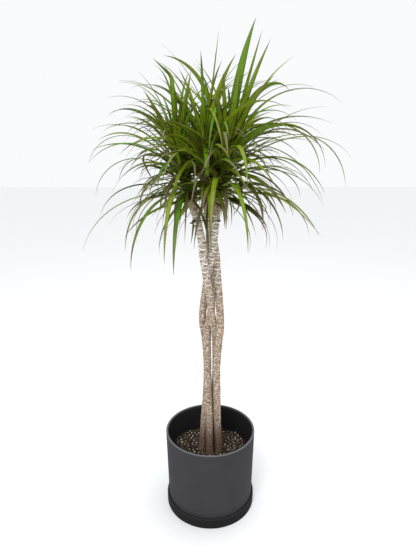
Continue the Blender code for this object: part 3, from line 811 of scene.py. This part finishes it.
def weathered(body, lips, canes, place, blotch):
    """Bark by its height: flecked and worn low down, dark near the soil, brown just under the leaves."""
    height = plus(split(place)["Z"], times(blotch, HEIGHT_UNEVENNESS))
    old = ramp(height, *FLECKED_HEIGHTS, 1.0, 0.35)
    fleck = noise_node(place, scale=210.0, detail=2.0, roughness=0.5)
    layers = [
        (canes.weathered, height, WEATHERED_HEIGHTS, (0.95, 0.0)),
        (canes.groove, fleck, (0.48, 0.36), (0.0, 0.85), old),
        (canes.lip, fleck, (0.53, 0.62), (0.0, 0.5), old),
    ]
    for spot in SCRAPE_PLACES:
        uneven = plus(vector_maths("DISTANCE", place, spot, output="Value"), times(blotch, SCRAPE_UNEVENNESS))
        layers.append((canes.scraped, uneven, SCRAPE_REACH, (0.75, 0.0)))
    layers.append((canes.foot, height, FOOT_HEIGHTS, (0.95, 0.0)))
    lips = times(lips, ramp(height, *FLECKED_HEIGHTS, 0.25, 1.0))
    lips = times(lips, ramp(height, *WORN_FOOT_HEIGHTS, 0.3, 1.0))
    body = mixed(lips, layered(body, *layers), canes.lip)
    return layered(body, (canes.husk, height, HUSK_HEIGHTS, (0.0, 0.75)))


def leaf_finish(name, leaves):
    """Leaf with fine lengthwise veins, a dark red margin, a paler foot and a grey brown tip."""
    made, tree, shader = new_finish(name, Specular_IOR_Level=0.1, Subsurface_Weight=0.1,
                                    Subsurface_Scale=0.002, Subsurface_Radius=(0.6, 1.0, 0.1))
    across, along, tone, age, under, dryness = (
        attribute(tree, label) for label in ("across", "along", "tone", "age", "under", "dryness"))
    cloud = noise_node(object_place(tree), scale=30.0, detail=2.0)
    waves = zip("XYZ", (across, along, tone), VEIN_WAVES)
    stripes = output_of(tree, "ShaderNodeCombineXYZ", "Vector",
                        {axis: times(value, count) for axis, value, count in waves})
    veins = noise_node(stripes, scale=1.0, roughness=0.6)
    shade = plus(times(age, AGE_SHADE), times(tone, TONE_SHADE))
    shade = plus(shade, ramp(cloud, 0.3, 0.7, -0.15, 0.15))
    body = layered(
        leaves.fresh,
        (leaves.deep, white_noise(tone), (0.45, 0.95), (0.0, 0.95)),
        (leaves.dark, shade, (0.30, 0.95), (0.0, 1.0)),
        (leaves.dark, veins, (0.3, 0.7), (0.0, 0.25)),
    )
    body = mixed(times(under, 0.25), body, leaves.pale)
    edge = maths("ABSOLUTE", across)
    wilt = ramp(shade, 0.1, 0.6, 0.35, 1.0)
    body = layered(
        body,
        (leaves.pale, edge, (0.04, 0.14), (0.25, 0.0)),
        (leaves.pale, along, (0.0, 0.14), (0.6, 0.0)),
        (leaves.margin, edge, (0.72, 0.92), (0.0, 0.95), wilt),
        (leaves.dry, along, (0.5, 1.0), (0.0, 0.75), wilt),
        (leaves.dry, plus(along, dryness), (0.93, 1.02), (0.0, 0.9)),
    )
    feed(ramp(veins, 0.2, 0.8, 0.36, 0.50), shader.inputs["Roughness"])
    end_finish(shader, body, veins, distance=0.0002, strength=0.5)
    return made


def plastic_finish(name, plastic):
    """Black plastic with a faint grain."""
    made, tree, shader = new_finish(name, Roughness=0.45)
    grain = noise_node(object_place(tree), scale=1500.0, detail=2.0)
    body = layered(plastic, (PLASTIC_GRAIN, grain, (0.4, 0.8), (0.0, 0.3)))
    end_finish(shader, body, grain, distance=0.0001)
    return made


# Turned pieces

def pot_radius(height):
    """Outer radius of the pot's wall, which widens a little towards the rim."""
    return POT_BASE_RADIUS + (POT_HIGH.x - POT_BASE_RADIUS) * height / POT_HIGH.z


def put_in_order(shape):
    """Order edges and faces by their points, because a spin gives them in another order each run."""
    shape.verts.index_update()
    for parts in (shape.edges, shape.faces):
        ordered = sorted(parts, key=lambda part: sorted(vert.index for vert in part.verts))
        for number, part in enumerate(ordered):
            part.index = number
        parts.sort()


def vessel_mesh(name, low, high, foot_radius, floor, wall, edge, hole, finish):
    """Open vessel with rounded edges, spun round the Z axis; its floor has a hole unless that is 0."""
    inner_floor = low.z + floor
    corners = (
        (foot_radius - edge, low.z + edge, -90, 0),
        (high.x - edge, high.z - edge, 0, 90),
        (high.x - wall + edge, high.z - edge, 90, 180),
        (foot_radius - wall - edge, inner_floor + edge, 0, -90),
    )
    profile = [(hole, low.z)]
    for radius, height, start, end in corners:
        for share in even_steps(EDGE_STEPS):
            angle = math.radians(between(start, end, share))
            profile.append((radius + edge * math.cos(angle), height + edge * math.sin(angle)))
    profile.append((hole, inner_floor))
    shape = bmesh.new()
    verts = [shape.verts.new((radius, 0.0, height)) for radius, height in profile]
    edges = [shape.edges.new(pair) for pair in zip(verts, verts[1:])]
    if hole:
        edges.append(shape.edges.new((verts[-1], verts[0])))
    bmesh.ops.spin(shape, geom=verts + edges, cent=(0, 0, 0), axis=(0, 0, 1), angle=math.tau,
                   steps=TURN_SIDES, use_merge=True)
    bmesh.ops.remove_doubles(shape, verts=shape.verts, dist=MERGE_DISTANCE)
    put_in_order(shape)
    mesh = smooth_mesh(shape, bpy.data.meshes.new(name))
    mesh.materials.append(finish)
    mesh.set_sharp_from_angle(angle=SHARP_ANGLE)
    return mesh


# Soil

def soil_height(x, y, lump):
    """Lumpy surface, a little higher round the canes."""
    mound = SOIL_MOUND * math.exp(-(math.hypot(x, y) / SOIL_MOUND_SPREAD) ** 2)
    lumps = sum(share * noise.noise(Vector((x * waves, y * waves, cut))) for waves, cut, share in SOIL_LUMPS)
    return SOIL_TOP + mound + lump * lumps


def soil_mesh(soil, finish):
    """Closed plug of soil; "free" is 0 where a cane stands, and on its sides."""
    shape = bmesh.new()
    free = shape.verts.layers.float.new("free")
    feet = [Vector(route[0][1:]) for route in CANE_ROUTES.values()]
    turns = [math.tau * index / SOIL_SIDES for index in range(SOIL_SIDES)]
    ways = [(math.cos(turn), math.sin(turn)) for turn in turns]
    centre = shape.verts.new((0, 0, soil_height(0, 0, soil.lump)))
    rings = []
    for ring in range(1, SOIL_RINGS + 1):
        radius = SOIL_HIGH.x * ring / SOIL_RINGS
        corners = []
        for way_x, way_y in ways:
            x = radius * way_x
            y = radius * way_y
            corner = shape.verts.new((x, y, soil_height(x, y, soil.lump)))
            nearest = min((Vector((x, y)) - foot).length for foot in feet)
            corner[free] = 1.0 if nearest > CANE_FOOT_RADIUS and ring < SOIL_RINGS - 1 else 0.0
            corners.append(corner)
        rings.append(corners)
    low = pot_radius(SOIL_LOW.z) - (POT_HIGH.x - SOIL_HIGH.x)
    rings.append([shape.verts.new((low * way_x, low * way_y, SOIL_LOW.z)) for way_x, way_y in ways])
    for side in range(SOIL_SIDES):
        after = (side + 1) % SOIL_SIDES
        shape.faces.new((centre, rings[0][side], rings[0][after]))
        for inner, outer in zip(rings, rings[1:]):
            shape.faces.new((inner[side], outer[side], outer[after], inner[after]))
    shape.faces.new(rings[-1])
    mesh = smooth_mesh(shape, bpy.data.meshes.new("soil"))
    mesh.materials.append(finish)
    return mesh


def random_value(tree, kind, **inputs):
    """A number or a vector drawn by chance for each point."""
    return output_of(tree, "FunctionNodeRandomValue", "Value", inputs, data_type=kind)


def scatter_bits(surface, spacing, size, low, high, lumpiness, seed, finish):
    """Uneven bits strewn on a surface, each turned, toned and sized by chance between two proportions."""
    tree = surface.id_data
    points = output_of(tree, "GeometryNodeDistributePointsOnFaces", "Points",
                       {"Mesh": surface, "Distance Min": spacing, "Seed": seed,
                        "Density Max": BIT_DENSITY, "Density Factor": read(tree, "free")},
                       distribute_method="POISSON")
    points = stored(points, "tone", random_value(tree, "FLOAT", Seed=seed))
    bit = output_of(tree, "GeometryNodeMeshIcoSphere", "Mesh", {"Radius": 0.5, "Subdivisions": 2})
    turn = random_value(tree, "FLOAT_VECTOR", Min=(-BIT_TILT, -BIT_TILT, 0),
                        Max=(BIT_TILT, BIT_TILT, math.tau), Seed=seed)
    stretch = random_value(tree, "FLOAT_VECTOR", Min=low, Max=high, Seed=STRETCH_SEED)
    strewn = output_of(tree, "GeometryNodeInstanceOnPoints", "Instances",
                       {"Points": points, "Instance": bit, "Rotation": turn, "Scale": scaled(stretch, size)})
    wobble = noise_node(place_of(tree), scale=BIT_WAVES, detail=1.0, roughness=0.5, output="Color")
    push = scaled(vector_maths("SUBTRACT", wobble, [NOISE_MIDDLE] * 3), lumpiness)
    return finished(moved(realized(strewn), "Offset", push), finish)


def soil_tree():
    """Bark bits, fibres and pale grains strewn on the soil."""
    kinds = [kind for kind, *_ in SOIL_BITS]
    sizes = [size for _, size, *_ in SOIL_BITS]
    tree, given = new_tree("soil bits", Float=[kind + " spacing" for kind in kinds] + sizes, Int=["Seed"],
                           Material=kinds)
    joined = add_node(tree, "GeometryNodeJoinGeometry")
    for number, (kind, size, low, high, lumpiness) in enumerate(SOIL_BITS):
        bits = scatter_bits(given["Geometry"], given[kind + " spacing"], given[size], low, high, lumpiness,
                            plus(given["Seed"], float(number)), given[kind])
        feed(bits, joined.inputs["Geometry"])
    end_tree(joined.outputs["Geometry"])
    return tree


# Canes

def cane_point(route, height):
    """Point of a smooth curve through the route's points (Catmull-Rom over height)."""
    heights = [point[0] for point in route]
    last = len(route) - 2
    span = next((i for i in range(last + 1) if height <= heights[i + 1]), last)
    start, end = route[span], route[span + 1]
    before = route[max(span - 1, 0)]
    after = route[min(span + 2, last + 1)]
    length = end[0] - start[0]
    share = (height - start[0]) / length
    square = share * share
    cube = share * share * share
    coords = []
    for axis in (1, 2):
        slope_in = (end[axis] - before[axis]) / (end[0] - before[0]) * length
        slope_out = (after[axis] - start[axis]) / (after[0] - start[0]) * length
        coords.append((2 * cube - 3 * square + 1) * start[axis] + (cube - 2 * square + share) * slope_in
                      + (3 * square - 2 * cube) * end[axis] + (cube - square) * slope_out)
    return Vector((coords[0], coords[1], height))


def cane_direction(route, height):
    low = max(height - DIRECTION_STEP, route[0][0])
    high = min(height + DIRECTION_STEP, route[-1][0])
    return (cane_point(route, high) - cane_point(route, low)).normalized()


def cane_radius(height):
    """Slim all the way, and a little thicker just above the soil."""
    above = max(height - SOIL_TOP, 0.0)
    return between(CANE_RADIUS, CANE_FOOT_RADIUS, math.exp(-above / CANE_FOOT_FADE))


def scar_group(kind):
    """Lip and inside of one leaf scar, for a place given by its running count of scars and its turn."""
    label = "leaf scar " + kind
    if label in bpy.data.node_groups:
        return bpy.data.node_groups[label]
    tree = bpy.data.node_groups.new(label, kind)
    for way, names in (("INPUT", ("Scars", "Turn", "Step", "Lip width")), ("OUTPUT", ("Lip", "Inside"))):
        for name in names:
            tree.interface.new_socket(name, in_out=way, socket_type="NodeSocketFloat")
    given = add_node(tree, "NodeGroupInput").outputs
    number = plus(maths("FLOOR", given["Scars"]), given["Step"])
    jitter = minus(white_noise(number), NOISE_MIDDLE)
    rise = minus(minus(given["Scars"], number), times(jitter, SCAR_JITTER))
    middle = plus(times(number, GOLDEN_ANGLE / math.tau), times(jitter, SCAR_TURN_JITTER))
    apart = minus(given["Turn"], middle)
    apart = minus(apart, maths("ROUND", apart))
    side = maths("DIVIDE", apart, SCAR_HALF_TURN)
    bulge = minus(1.0, times(side, side))
    reach = times(bulge, SCAR_HALF_HEIGHT)
    upper = minus(rise, reach)
    lower = plus(rise, reach)
    off_upper = times(maths("ABSOLUTE", upper), UPPER_LIP_THINNING)
    nearest = maths("MINIMUM", off_upper, maths("ABSOLUTE", lower))
    within = ramp(bulge, *SCAR_END_FADE)
    line = ramp(maths("DIVIDE", nearest, given["Lip width"]), *LIP_FADE, 1.0, 0.0)
    enclosed = times(maths("LESS_THAN", upper, 0.0), maths("GREATER_THAN", lower, 0.0))
    add_node(tree, "NodeGroupOutput", {"Lip": times(line, within), "Inside": times(enclosed, within)})
    return tree


def scar_pattern(tree, scars, facing, lip_width):
    """Lips and insides of all leaf scars that reach a place on a stem, which are set round it in a spiral."""
    group = scar_group(tree.bl_idname)
    kind = tree.bl_idname.replace("Tree", "Group")
    apart = split(facing)
    turn = maths("DIVIDE", maths("ARCTAN2", apart["Y"], apart["X"]), math.tau)
    lip = 0.0
    inside = 0.0
    for step in SCARS_IN_REACH:
        given = {"Scars": scars, "Turn": turn, "Step": float(step), "Lip width": lip_width}
        found = add_node(tree, kind, given, node_tree=group).outputs
        lip = maths("MAXIMUM", lip, found["Lip"])
        inside = maths("MAXIMUM", inside, found["Inside"])
    return lip, inside


def stem_tree():
    """Round stem along a path, with raised lips round its leaf scars."""
    tree, given = new_tree("scarred stem", Int=["Sides"], Float=["Ring spacing", "Lip width", "Relief"],
                           Material=["Material"])
    place = place_of(tree)
    tube = swept_tube(given["Geometry"], given["Sides"], {"facing": place}, given["Ring spacing"])
    lip, inside = scar_pattern(tree, read(tree, "scars"), read_vector(tree, "facing"), given["Lip width"])
    rough = noise_node(place, scale=STEM_ROUGHNESS_WAVES, detail=2.0, roughness=0.5)
    height = plus(plus(lip, times(inside, INSIDE_HEIGHT)), minus(rough, ROUGHNESS_LEVEL))
    stem = pushed_out(tube, plus(read(tree, "girth"), times(height, given["Relief"])))
    end_tree(finished(stem, given["Material"]))
    return tree


def stem_mesh(name, points, radii, pitches, first_scar, canes, tree, finish):
    """Scarred stem through points, with its radius and its height from scar to scar at each of them."""
    scars = [first_scar]
    for low, high, pitch in zip(points, points[1:], pitches):
        scars.append(scars[-1] + (high - low).length / pitch)
    path = chains_mesh(name, [points], {"girth": radii, "scars": scars})
    return grown_body(name, path, tree, canes, finish, spare=("centre", "girth"))


def cane_mesh(side, number, canes, tree, finish):
    route = CANE_ROUTES[side]
    low, high = route[0][0], route[-1][0]
    heights = [between(low, high, share) for share in even_steps(round((high - low) / PATH_STEP))]
    upper_pitch = canes.wide_pitch if side == "left" else canes.fine_pitch
    pitches = []
    for height in heights:
        upper = clamped((height - UPPER_START) / UPPER_FADE)
        drift = 1.0 + PITCH_DRIFT * noise.noise(Vector((height * DRIFT_WAVES, number * DRIFT_STEP, 0.5)))
        pitches.append(between(canes.low_pitch, upper_pitch, upper) * drift)
    return stem_mesh("scarred_cane_" + side, [cane_point(route, height) for height in heights],
                     [cane_radius(height) for height in heights], pitches, number * CANE_SCAR_STEP,
                     canes, tree, finish)


def tip_mesh(side, number, canes, tree, finish):
    """Leafy tip of a cane, which the leaves grow from."""
    foot, apex = head_axis(side)
    shares = even_steps(round((apex.z - foot.z) / PATH_STEP))
    return stem_mesh("stem_tip_" + side, [core_point(side, share) for share in shares],
                     [core_radius(share) for share in shares], [canes.tip_pitch] * len(shares),
                     number * TIP_SCAR_STEP, canes, tree, finish)


# Tie

def tube_tree():
    """Round tube along a path, as thick as its points say."""
    tree, given = new_tree("tube", Int=["Sides"], Material=["Material"])
    tube = swept_tube(given["Geometry"], given["Sides"], {})
    end_tree(finished(pushed_out(tube, read(tree, "girth")), given["Material"]))
    return tree


def band_point(angle):
    """Point of a band that runs tight round all the canes."""
    out = towards(angle)
    centres = [cane_point(route, TIE_HEIGHT) for route in CANE_ROUTES.values()]
    return max(centres, key=out.dot) + out * (CANE_RADIUS + TIE_RADIUS)


def tie_paths(tie):
    """Band round the canes, the lump of its knot and its two twisted ends."""
    up = Vector((0, 0, 1))
    out = towards(KNOT_ANGLE)
    knot = band_point(KNOT_ANGLE)
    band = []
    for share in even_steps(TIE_POINTS):
        turn = math.tau * share
        band.append(band_point(KNOT_ANGLE + turn) + up * TIE_SAG * math.sin(TIE_WAVES * turn))
    lump = []
    for share in even_steps(KNOT_POINTS):
        angle = math.tau * KNOT_TURNS * share
        reach = KNOT_RADIUS * math.sin(math.pi * share)
        lump.append(knot + out * reach * math.cos(angle) + up * reach * math.sin(angle)
                    + out.cross(up) * KNOT_RADIUS * (2 * share - 1))
    ends = [[], []]
    for start, end in zip((0.0, math.pi), ends):
        for share in even_steps(END_POINTS):
            twist = towards(start + math.tau * END_TURNS * share) * TIE_RADIUS * (1 + share)
            end.append(knot + out * KNOT_RADIUS + (out - up * END_FALL) * tie.end_length * share + twist)
    return [band, lump, *ends]


def tie_mesh(tie, finish):
    """Thin tubes along the tie's paths."""
    paths = tie_paths(tie)
    chain = chains_mesh("tie", paths, {"girth": [TIE_RADIUS] * sum(len(path) for path in paths)})
    return grown_body("tie", chain, tube_tree(), tie, finish, spare=("centre", "girth"))


# Leafy heads

@dataclass
class Leaf:
    """One leaf; its angles are in radians, and its age runs from 0, young, to 1, old."""
    root: Vector
    azimuth: float
    rise: float
    fall: float
    length: float
    width: float
    sweep: float = 0.0
    roll: float = 0.0
    droop: float = 1.5
    taper: float = 2.2
    crease_at: float = 1.0
    crease: float = 0.0
    age: float = 0.3
    tone: float = 0.5
    dryness: float = FRESH_DRYNESS


def head_axis(side):
    """Foot and apex of a head's core: it goes on where its cane ends."""
    route = CANE_ROUTES[side]
    return cane_point(route, route[-1][0]), Vector(HEADS[side]["apex"])


def core_point(side, share):
    """Point on a head's bowed axis, at a share of its height."""
    foot, apex = head_axis(side)
    start = cane_direction(CANE_ROUTES[side], CANE_ROUTES[side][-1][0])
    bend = foot + start * (apex - foot).length * CORE_BOW
    return foot * (1 - share) ** 2 + bend * 2 * share * (1 - share) + apex * share ** 2


def core_radius(share):
    (low, low_radius), (high, high_radius) = next(pair for pair in zip(CORE_RADII, CORE_RADII[1:])
                                                  if share <= pair[1][0])
    return between(low_radius, high_radius, (share - low) / (high - low))


def leaf_root(side, share, azimuth):
    """A leaf starts inside the core, on the side that it grows to."""
    place = between(*LEAF_PLACES, share)
    return core_point(side, place) + towards(azimuth) * core_radius(share) * ROOT_DEPTH


def standout_leaf(side, share, azimuth, rise, fall, length, width, roll=0, droop=1.5, crease_at=1.0,
                  crease=0):
    azimuth, rise, fall, roll, crease = map(math.radians, (azimuth, rise, fall, roll, crease))
    return Leaf(leaf_root(side, share, azimuth), azimuth, rise, fall, length, width, roll=roll, droop=droop,
                crease_at=crease_at, crease=crease, age=STANDOUT_AGE * (1 - share))


def drawn_leaf(side, share, turn, draw):
    """A leaf by the head's rule: old low leaves hang, middle ones arch, young top ones stand."""
    head = HEADS[side]
    azimuth = turn + math.radians(draw.uniform(-TURN_SPREAD, TURN_SPREAD))
    rise = between(*RISE_FROM_TO, share ** RISE_POWER) + draw.uniform(-RISE_SPREAD, RISE_SPREAD)
    fall = between(*FALL_FROM_TO, share ** FALL_POWER) + draw.uniform(-FALL_SPREAD, FALL_SPREAD)
    swell = LENGTH_AT_ENDS + LENGTH_SWELL * math.sin(math.pi * share)
    length = head["length"] * swell * draw.uniform(*LENGTH_SPREAD)
    if draw.random() < SHORT_SHARE:
        length *= draw.uniform(*SHORT_SPREAD)
    creased = draw.random() < CREASED_SHARE
    dried = draw.random() < DRIED_SHARE
    return Leaf(
        root=leaf_root(side, share, azimuth),
        azimuth=azimuth,
        rise=math.radians(rise),
        fall=math.radians(min(fall, rise)),
        length=length,
        width=head["width"] * draw.uniform(*WIDTH_SPREAD),
        sweep=math.radians(draw.uniform(-SWEEP_SPREAD, SWEEP_SPREAD)),
        roll=math.radians(draw.uniform(-ROLL_SPREAD, ROLL_SPREAD)),
        droop=draw.uniform(*DROOP_SPREAD),
        taper=draw.uniform(*TAPER_SPREAD),
        crease_at=draw.uniform(*CREASE_PLACES) if creased else 1.0,
        crease=math.radians(draw.uniform(*CREASE_SPREAD)) if creased else 0.0,
        age=1 - share,
        tone=draw.random(),
        dryness=draw.uniform(*DRY_SPREAD) if dried else FRESH_DRYNESS,
    )


def leaf_width(leaf, share):
    """Wide where it clasps the stem, then a neck, widest at a third, then a long taper."""
    swell = between(NECK_WIDTH, 1, math.sin(min(share / WIDEST_AT, 1.0) * math.pi / 2))
    clasp = CLASP_WIDTH * max(1 - share / CLASP_END, 0.0) ** 2
    past_widest = max(share - WIDEST_AT, 0.0) / (1 - WIDEST_AT)
    return leaf.width * (swell + clasp) * max(1 - past_widest ** leaf.taper, TIP_WIDTH)


def leaf_spine(leaf):
    """Points, cross directions and upward directions along a leaf that rises and then bends over."""
    point = leaf.root.copy()
    step = leaf.length / LEAF_STEPS
    spine = []
    for share in even_steps(LEAF_STEPS):
        creased = clamped((share - leaf.crease_at) / CREASE_LENGTH)
        slope = between(leaf.rise, leaf.fall, share ** leaf.droop) - leaf.crease * creased
        flat = towards(leaf.azimuth + leaf.sweep * share ** SWEEP_POWER)
        along = flat * math.cos(slope) + Vector((0, 0, math.sin(slope)))
        side = Vector((-flat.y, flat.x, 0))
        upper = along.cross(side)
        roll = leaf.roll * min(share / ROLL_END, 1.0)
        spine.append((share, point.copy(), side * math.cos(roll) + upper * math.sin(roll),
                      upper * math.cos(roll) - side * math.sin(roll)))
        point = point + along * step
    return spine


def is_clear(leaf, spine):
    """Whether a leaf stays off the canes and inside the model's box."""
    low, high = CAD_BOX
    for share, point, *_ in spine:
        if any(not low[axis] <= point[axis] <= high[axis] for axis in range(3)):
            return False
        for route in CANE_ROUTES.values():
            if share > CLEAR_FROM and point.z < route[-1][0]:
                beside = (point - cane_point(route, point.z)).length
                if beside < CANE_RADIUS + leaf_width(leaf, share) / 2 + LEAF_CLEARANCE:
                    return False
    return True


def head_leaves(side, fullness):
    """All leaves of one head with their spines: those that stand out, then the drawn ones."""
    head = HEADS[side]
    draw = random.Random(head["seed"])
    grown = []
    for sizes in STANDOUT_LEAVES[side]:
        leaf = standout_leaf(side, *sizes)
        leaf.tone = STANDOUT_TONE * draw.random()
        grown.append((leaf, leaf_spine(leaf)))
    count = round(head["leaves"] * fullness)
    for number in range(count):
        for _ in range(LEAF_TRIES):
            leaf = drawn_leaf(side, ((number + 0.5) / count) ** LEAF_CROWDING, number * GOLDEN_ANGLE, draw)
            spine = leaf_spine(leaf)
            if is_clear(leaf, spine):
                grown.append((leaf, spine))
                break
    return grown


def spines_mesh(side, grown, segments, broadness):
    """Chains of points along the leaves of a head, with what each blade needs on them."""
    chains = []
    values = {}
    for leaf, spine in grown:
        picked = [spine[round(index * LEAF_STEPS / segments)] for index in range(segments + 1)]
        chains.append([point for _, point, _, _ in picked])
        for share, _, across, upper in picked:
            half = leaf_width(leaf, share) * broadness / 2
            found = {"side": across, "upper": upper, "half": half, "along": share, "age": leaf.age,
                     "tone": leaf.tone, "dryness": leaf.dryness}
            for label, value in found.items():
                values.setdefault(label, []).append(value)
    return chains_mesh("spines_" + side, chains, values)


def blade_tree():
    """Folded blades along the spines of a head's leaves, thin at their edges."""
    tree, given = new_tree("leaf blades", Int=["Section points"], Float=["Thickness", "Fold"],
                           Material=["Material"])
    apart = split(place_of(tree))
    swept = swept_tube(given["Geometry"], given["Section points"], {"across": apart["X"], "lift": apart["Y"]})
    across, half, along, lift = (read(tree, name) for name in ("across", "half", "along", "lift"))
    thickness = times(times(lift, given["Thickness"]), ramp(along, *THIN_RANGE))
    fold = times(times(half, given["Fold"]), ramp(along, *FOLD_RANGE))
    fold = times(fold, maths("ABSOLUTE", across))
    sideways = scaled(read_vector(tree, "side"), times(across, half))
    upwards = scaled(read_vector(tree, "upper"), plus(thickness, fold))
    spot = vector_maths("ADD", read_vector(tree, "centre"), vector_maths("ADD", sideways, upwards))
    marked = stored(moved(swept, "Position", spot), "under", maths("LESS_THAN", lift, UNDERSIDE))
    end_tree(finished(marked, given["Material"]))
    return tree


def head_mesh(side, leaves, tree, finish):
    grown = head_leaves(side, leaves.fullness)
    spines = spines_mesh(side, grown, leaves.segments, leaves.broadness)
    return grown_body("head_" + side, spines, tree, leaves, finish,
                      spare=("centre", "side", "upper", "half", "lift"))


# Operators

class TREE_OT_pot(bpy.types.Operator):
    """Make the pot and its saucer"""
    bl_idname = "tree.pot"
    bl_label = "Pot and saucer"

    def execute(self, context):
        pot = context.scene.tree_pot
        clay = clay_finish("pot clay", pot.clay, pot.worn_and_highlit, POT_HIGH.z, POT_HIGH.x - pot.wall)
        turned = vessel_mesh("pot", POT_LOW, POT_HIGH, pot_radius(POT_LOW.z), POT_FLOOR, pot.wall, pot.edge,
                             DRAIN_RADIUS, clay)
        place_piece("pot_turned", turned, "pot_clay", "pot")
        # The pot's clay gives the saucer its lighter grain and its rim band of rubbed wear and painted
        # highlight
        clay = clay_finish("saucer clay", pot.saucer_clay, pot.clay, SAUCER_HIGH.z,
                           SAUCER_HIGH.x - pot.saucer_wall)
        turned = vessel_mesh("saucer", SAUCER_LOW, SAUCER_HIGH, SAUCER_HIGH.x, SAUCER_FLOOR, pot.saucer_wall,
                             pot.saucer_edge, 0.0, clay)
        place_piece("saucer_turned", turned, "saucer_clay", "saucer")
        return {"FINISHED"}


class TREE_OT_soil(bpy.types.Operator):
    """Make the soil with its bark bits, fibres and pale grains"""
    bl_idname = "tree.soil"
    bl_label = "Soil"

    def execute(self, context):
        soil = context.scene.tree_soil
        plug = soil_mesh(soil, earth_finish("earth", soil.earth, soil.bark))
        bits = grown_mesh(
            "soil_bits", plug.copy(), soil_tree(), soil,
            Bark=bit_finish("bark bits", soil.bark, soil.earth, roughness=0.9, evenness=0.45),
            Grain=bit_finish("pale grains", soil.grain, soil.fibre, roughness=0.8, evenness=3.0),
            Fibre=bit_finish("fibres", soil.fibre, soil.bark, roughness=0.85, evenness=1.0),
        )
        drop_attributes(plug, ("free",))
        place_piece("soil_plug", plug, "potting_soil", "soil")
        place_piece("soil_bits", bits, "potting_soil", "soil")
        return {"FINISHED"}


class TREE_OT_canes(bpy.types.Operator):
    """Make the four twisted canes with their leaf scars, and the tips that the leaves grow from"""
    bl_idname = "tree.canes"
    bl_label = "Canes"

    def execute(self, context):
        canes = context.scene.tree_canes
        tree = stem_tree()
        pale = bark_finish("pale bark", canes)
        brown = bark_finish("brown bark", canes, canes.browning)
        sprout = bark_finish("leafy tip", canes, tip=True)
        for number, side in enumerate(CANE_ROUTES):
            cane = cane_mesh(side, number, canes, tree, pale if side == "left" else brown)
            place_piece("scarred_cane_" + side, cane, "cane_bark", "cane_" + side)
            tip = tip_mesh(side, number, canes, tree, sprout)
            place_piece("stem_tip_" + side, tip, "leaf", "head_" + side)
        return {"FINISHED"}


class TREE_OT_tie(bpy.types.Operator):
    """Make the garden tie round the canes"""
    bl_idname = "tree.tie"
    bl_label = "Tie"

    def execute(self, context):
        tie = context.scene.tree_tie
        mesh = tie_mesh(tie, plastic_finish("tie plastic", tie.plastic))
        place_piece("garden_tie", mesh, "tie_plastic", "tie")
        return {"FINISHED"}


class TREE_OT_heads(bpy.types.Operator):
    """Make the four leafy heads"""
    bl_idname = "tree.heads"
    bl_label = "Leafy heads"

    def execute(self, context):
        leaves = context.scene.tree_leaves
        tree = blade_tree()
        finish = leaf_finish("leaf", leaves)
        for side in HEADS:
            place_piece("leaves_" + side, head_mesh(side, leaves, tree, finish), "leaf", "head_" + side)
        return {"FINISHED"}


class TREE_OT_stage(bpy.types.Operator):
    """Make the floor, the light and the camera"""
    bl_idname = "tree.stage"
    bl_label = "Stage"

    def execute(self, context):
        settings = context.scene.tree_stage
        make_floor(settings)
        make_light(context.scene, settings)
        make_camera(context.scene)
        return {"FINISHED"}


def make_floor(settings):
    mesh = bpy.data.meshes.new("floor")
    corners = [(x * FLOOR_REACH, y * FLOOR_REACH, 0) for x, y in ((-1, -1), (1, -1), (1, 1), (-1, 1))]
    mesh.from_pydata(corners, [], [(0, 1, 2, 3)])
    finish, _, shader = new_finish("pale floor", Roughness=0.6)
    shader.inputs["Base Color"].default_value = rgba(settings.floor)
    mesh.materials.append(finish)
    add_object("floor", mesh)


def add_area_light(name, power):
    """Square soft light that faces its target."""
    side, place, target = LIGHTS[name]
    data = bpy.data.lights.new(name, "AREA")
    data.energy = power
    data.size = side
    light = add_object(name, data)
    light.location = place
    light.rotation_euler = (Vector(target) - Vector(place)).to_track_quat("-Z", "Y").to_euler()


def make_light(scene, settings):
    world = bpy.data.worlds.new("pale surroundings")
    world.use_nodes = True
    background = world.node_tree.nodes["Background"]
    background.inputs["Color"].default_value = rgba(settings.sky)
    background.inputs["Strength"].default_value = settings.sky_strength
    scene.world = world
    add_area_light("key light", settings.key_power)
    add_area_light("top light", settings.top_power)
    scene.view_settings.view_transform = "Standard"


def make_camera(scene):
    data = bpy.data.cameras.new("camera")
    data.sensor_fit = "AUTO"
    data.sensor_width = SENSOR
    data.lens = FOCAL_PIXELS * SENSOR / max(FRAME_WIDTH, FRAME_HEIGHT)
    camera = add_object("camera", data)
    camera.location = CAMERA_PLACE
    turn = Euler((math.pi / 2 - CAMERA_PITCH, 0.0, CAMERA_YAW)).to_matrix()
    camera.rotation_euler = (turn @ Matrix.Rotation(CAMERA_ROLL, 3, "Z")).to_euler()
    scene.camera = camera


OPERATORS = (TREE_OT_pot, TREE_OT_soil, TREE_OT_canes, TREE_OT_tie, TREE_OT_heads, TREE_OT_stage)


class TREE_PT_sidebar(bpy.types.Panel):
    """Operators and settings of the potted dragon tree"""
    bl_label = "Potted dragon tree"
    bl_idname = "TREE_PT_sidebar"
    bl_space_type = "VIEW_3D"
    bl_region_type = "UI"
    bl_category = "Dragon tree"

    def draw(self, context):
        for operator in OPERATORS:
            self.layout.operator(operator.bl_idname)
        for name, group in SETTINGS.items():
            box = self.layout.box()
            box.label(text=group.__doc__)
            for label in group.__annotations__:
                box.prop(getattr(context.scene, name), label)


def register():
    for group in SETTINGS.values():
        bpy.utils.register_class(group)
    for name, group in SETTINGS.items():
        setattr(bpy.types.Scene, name, bpy.props.PointerProperty(type=group))
    for part in (*OPERATORS, TREE_PT_sidebar):
        bpy.utils.register_class(part)


def unregister():
    for part in reversed((*OPERATORS, TREE_PT_sidebar)):
        bpy.utils.unregister_class(part)
    for name, group in reversed(SETTINGS.items()):
        delattr(bpy.types.Scene, name)
        bpy.utils.unregister_class(group)


def main():
    register()
    for operator in OPERATORS:
        group, name = operator.bl_idname.split(".")
        getattr(getattr(bpy.ops, group), name)()


if __name__ == "__main__":
    main()
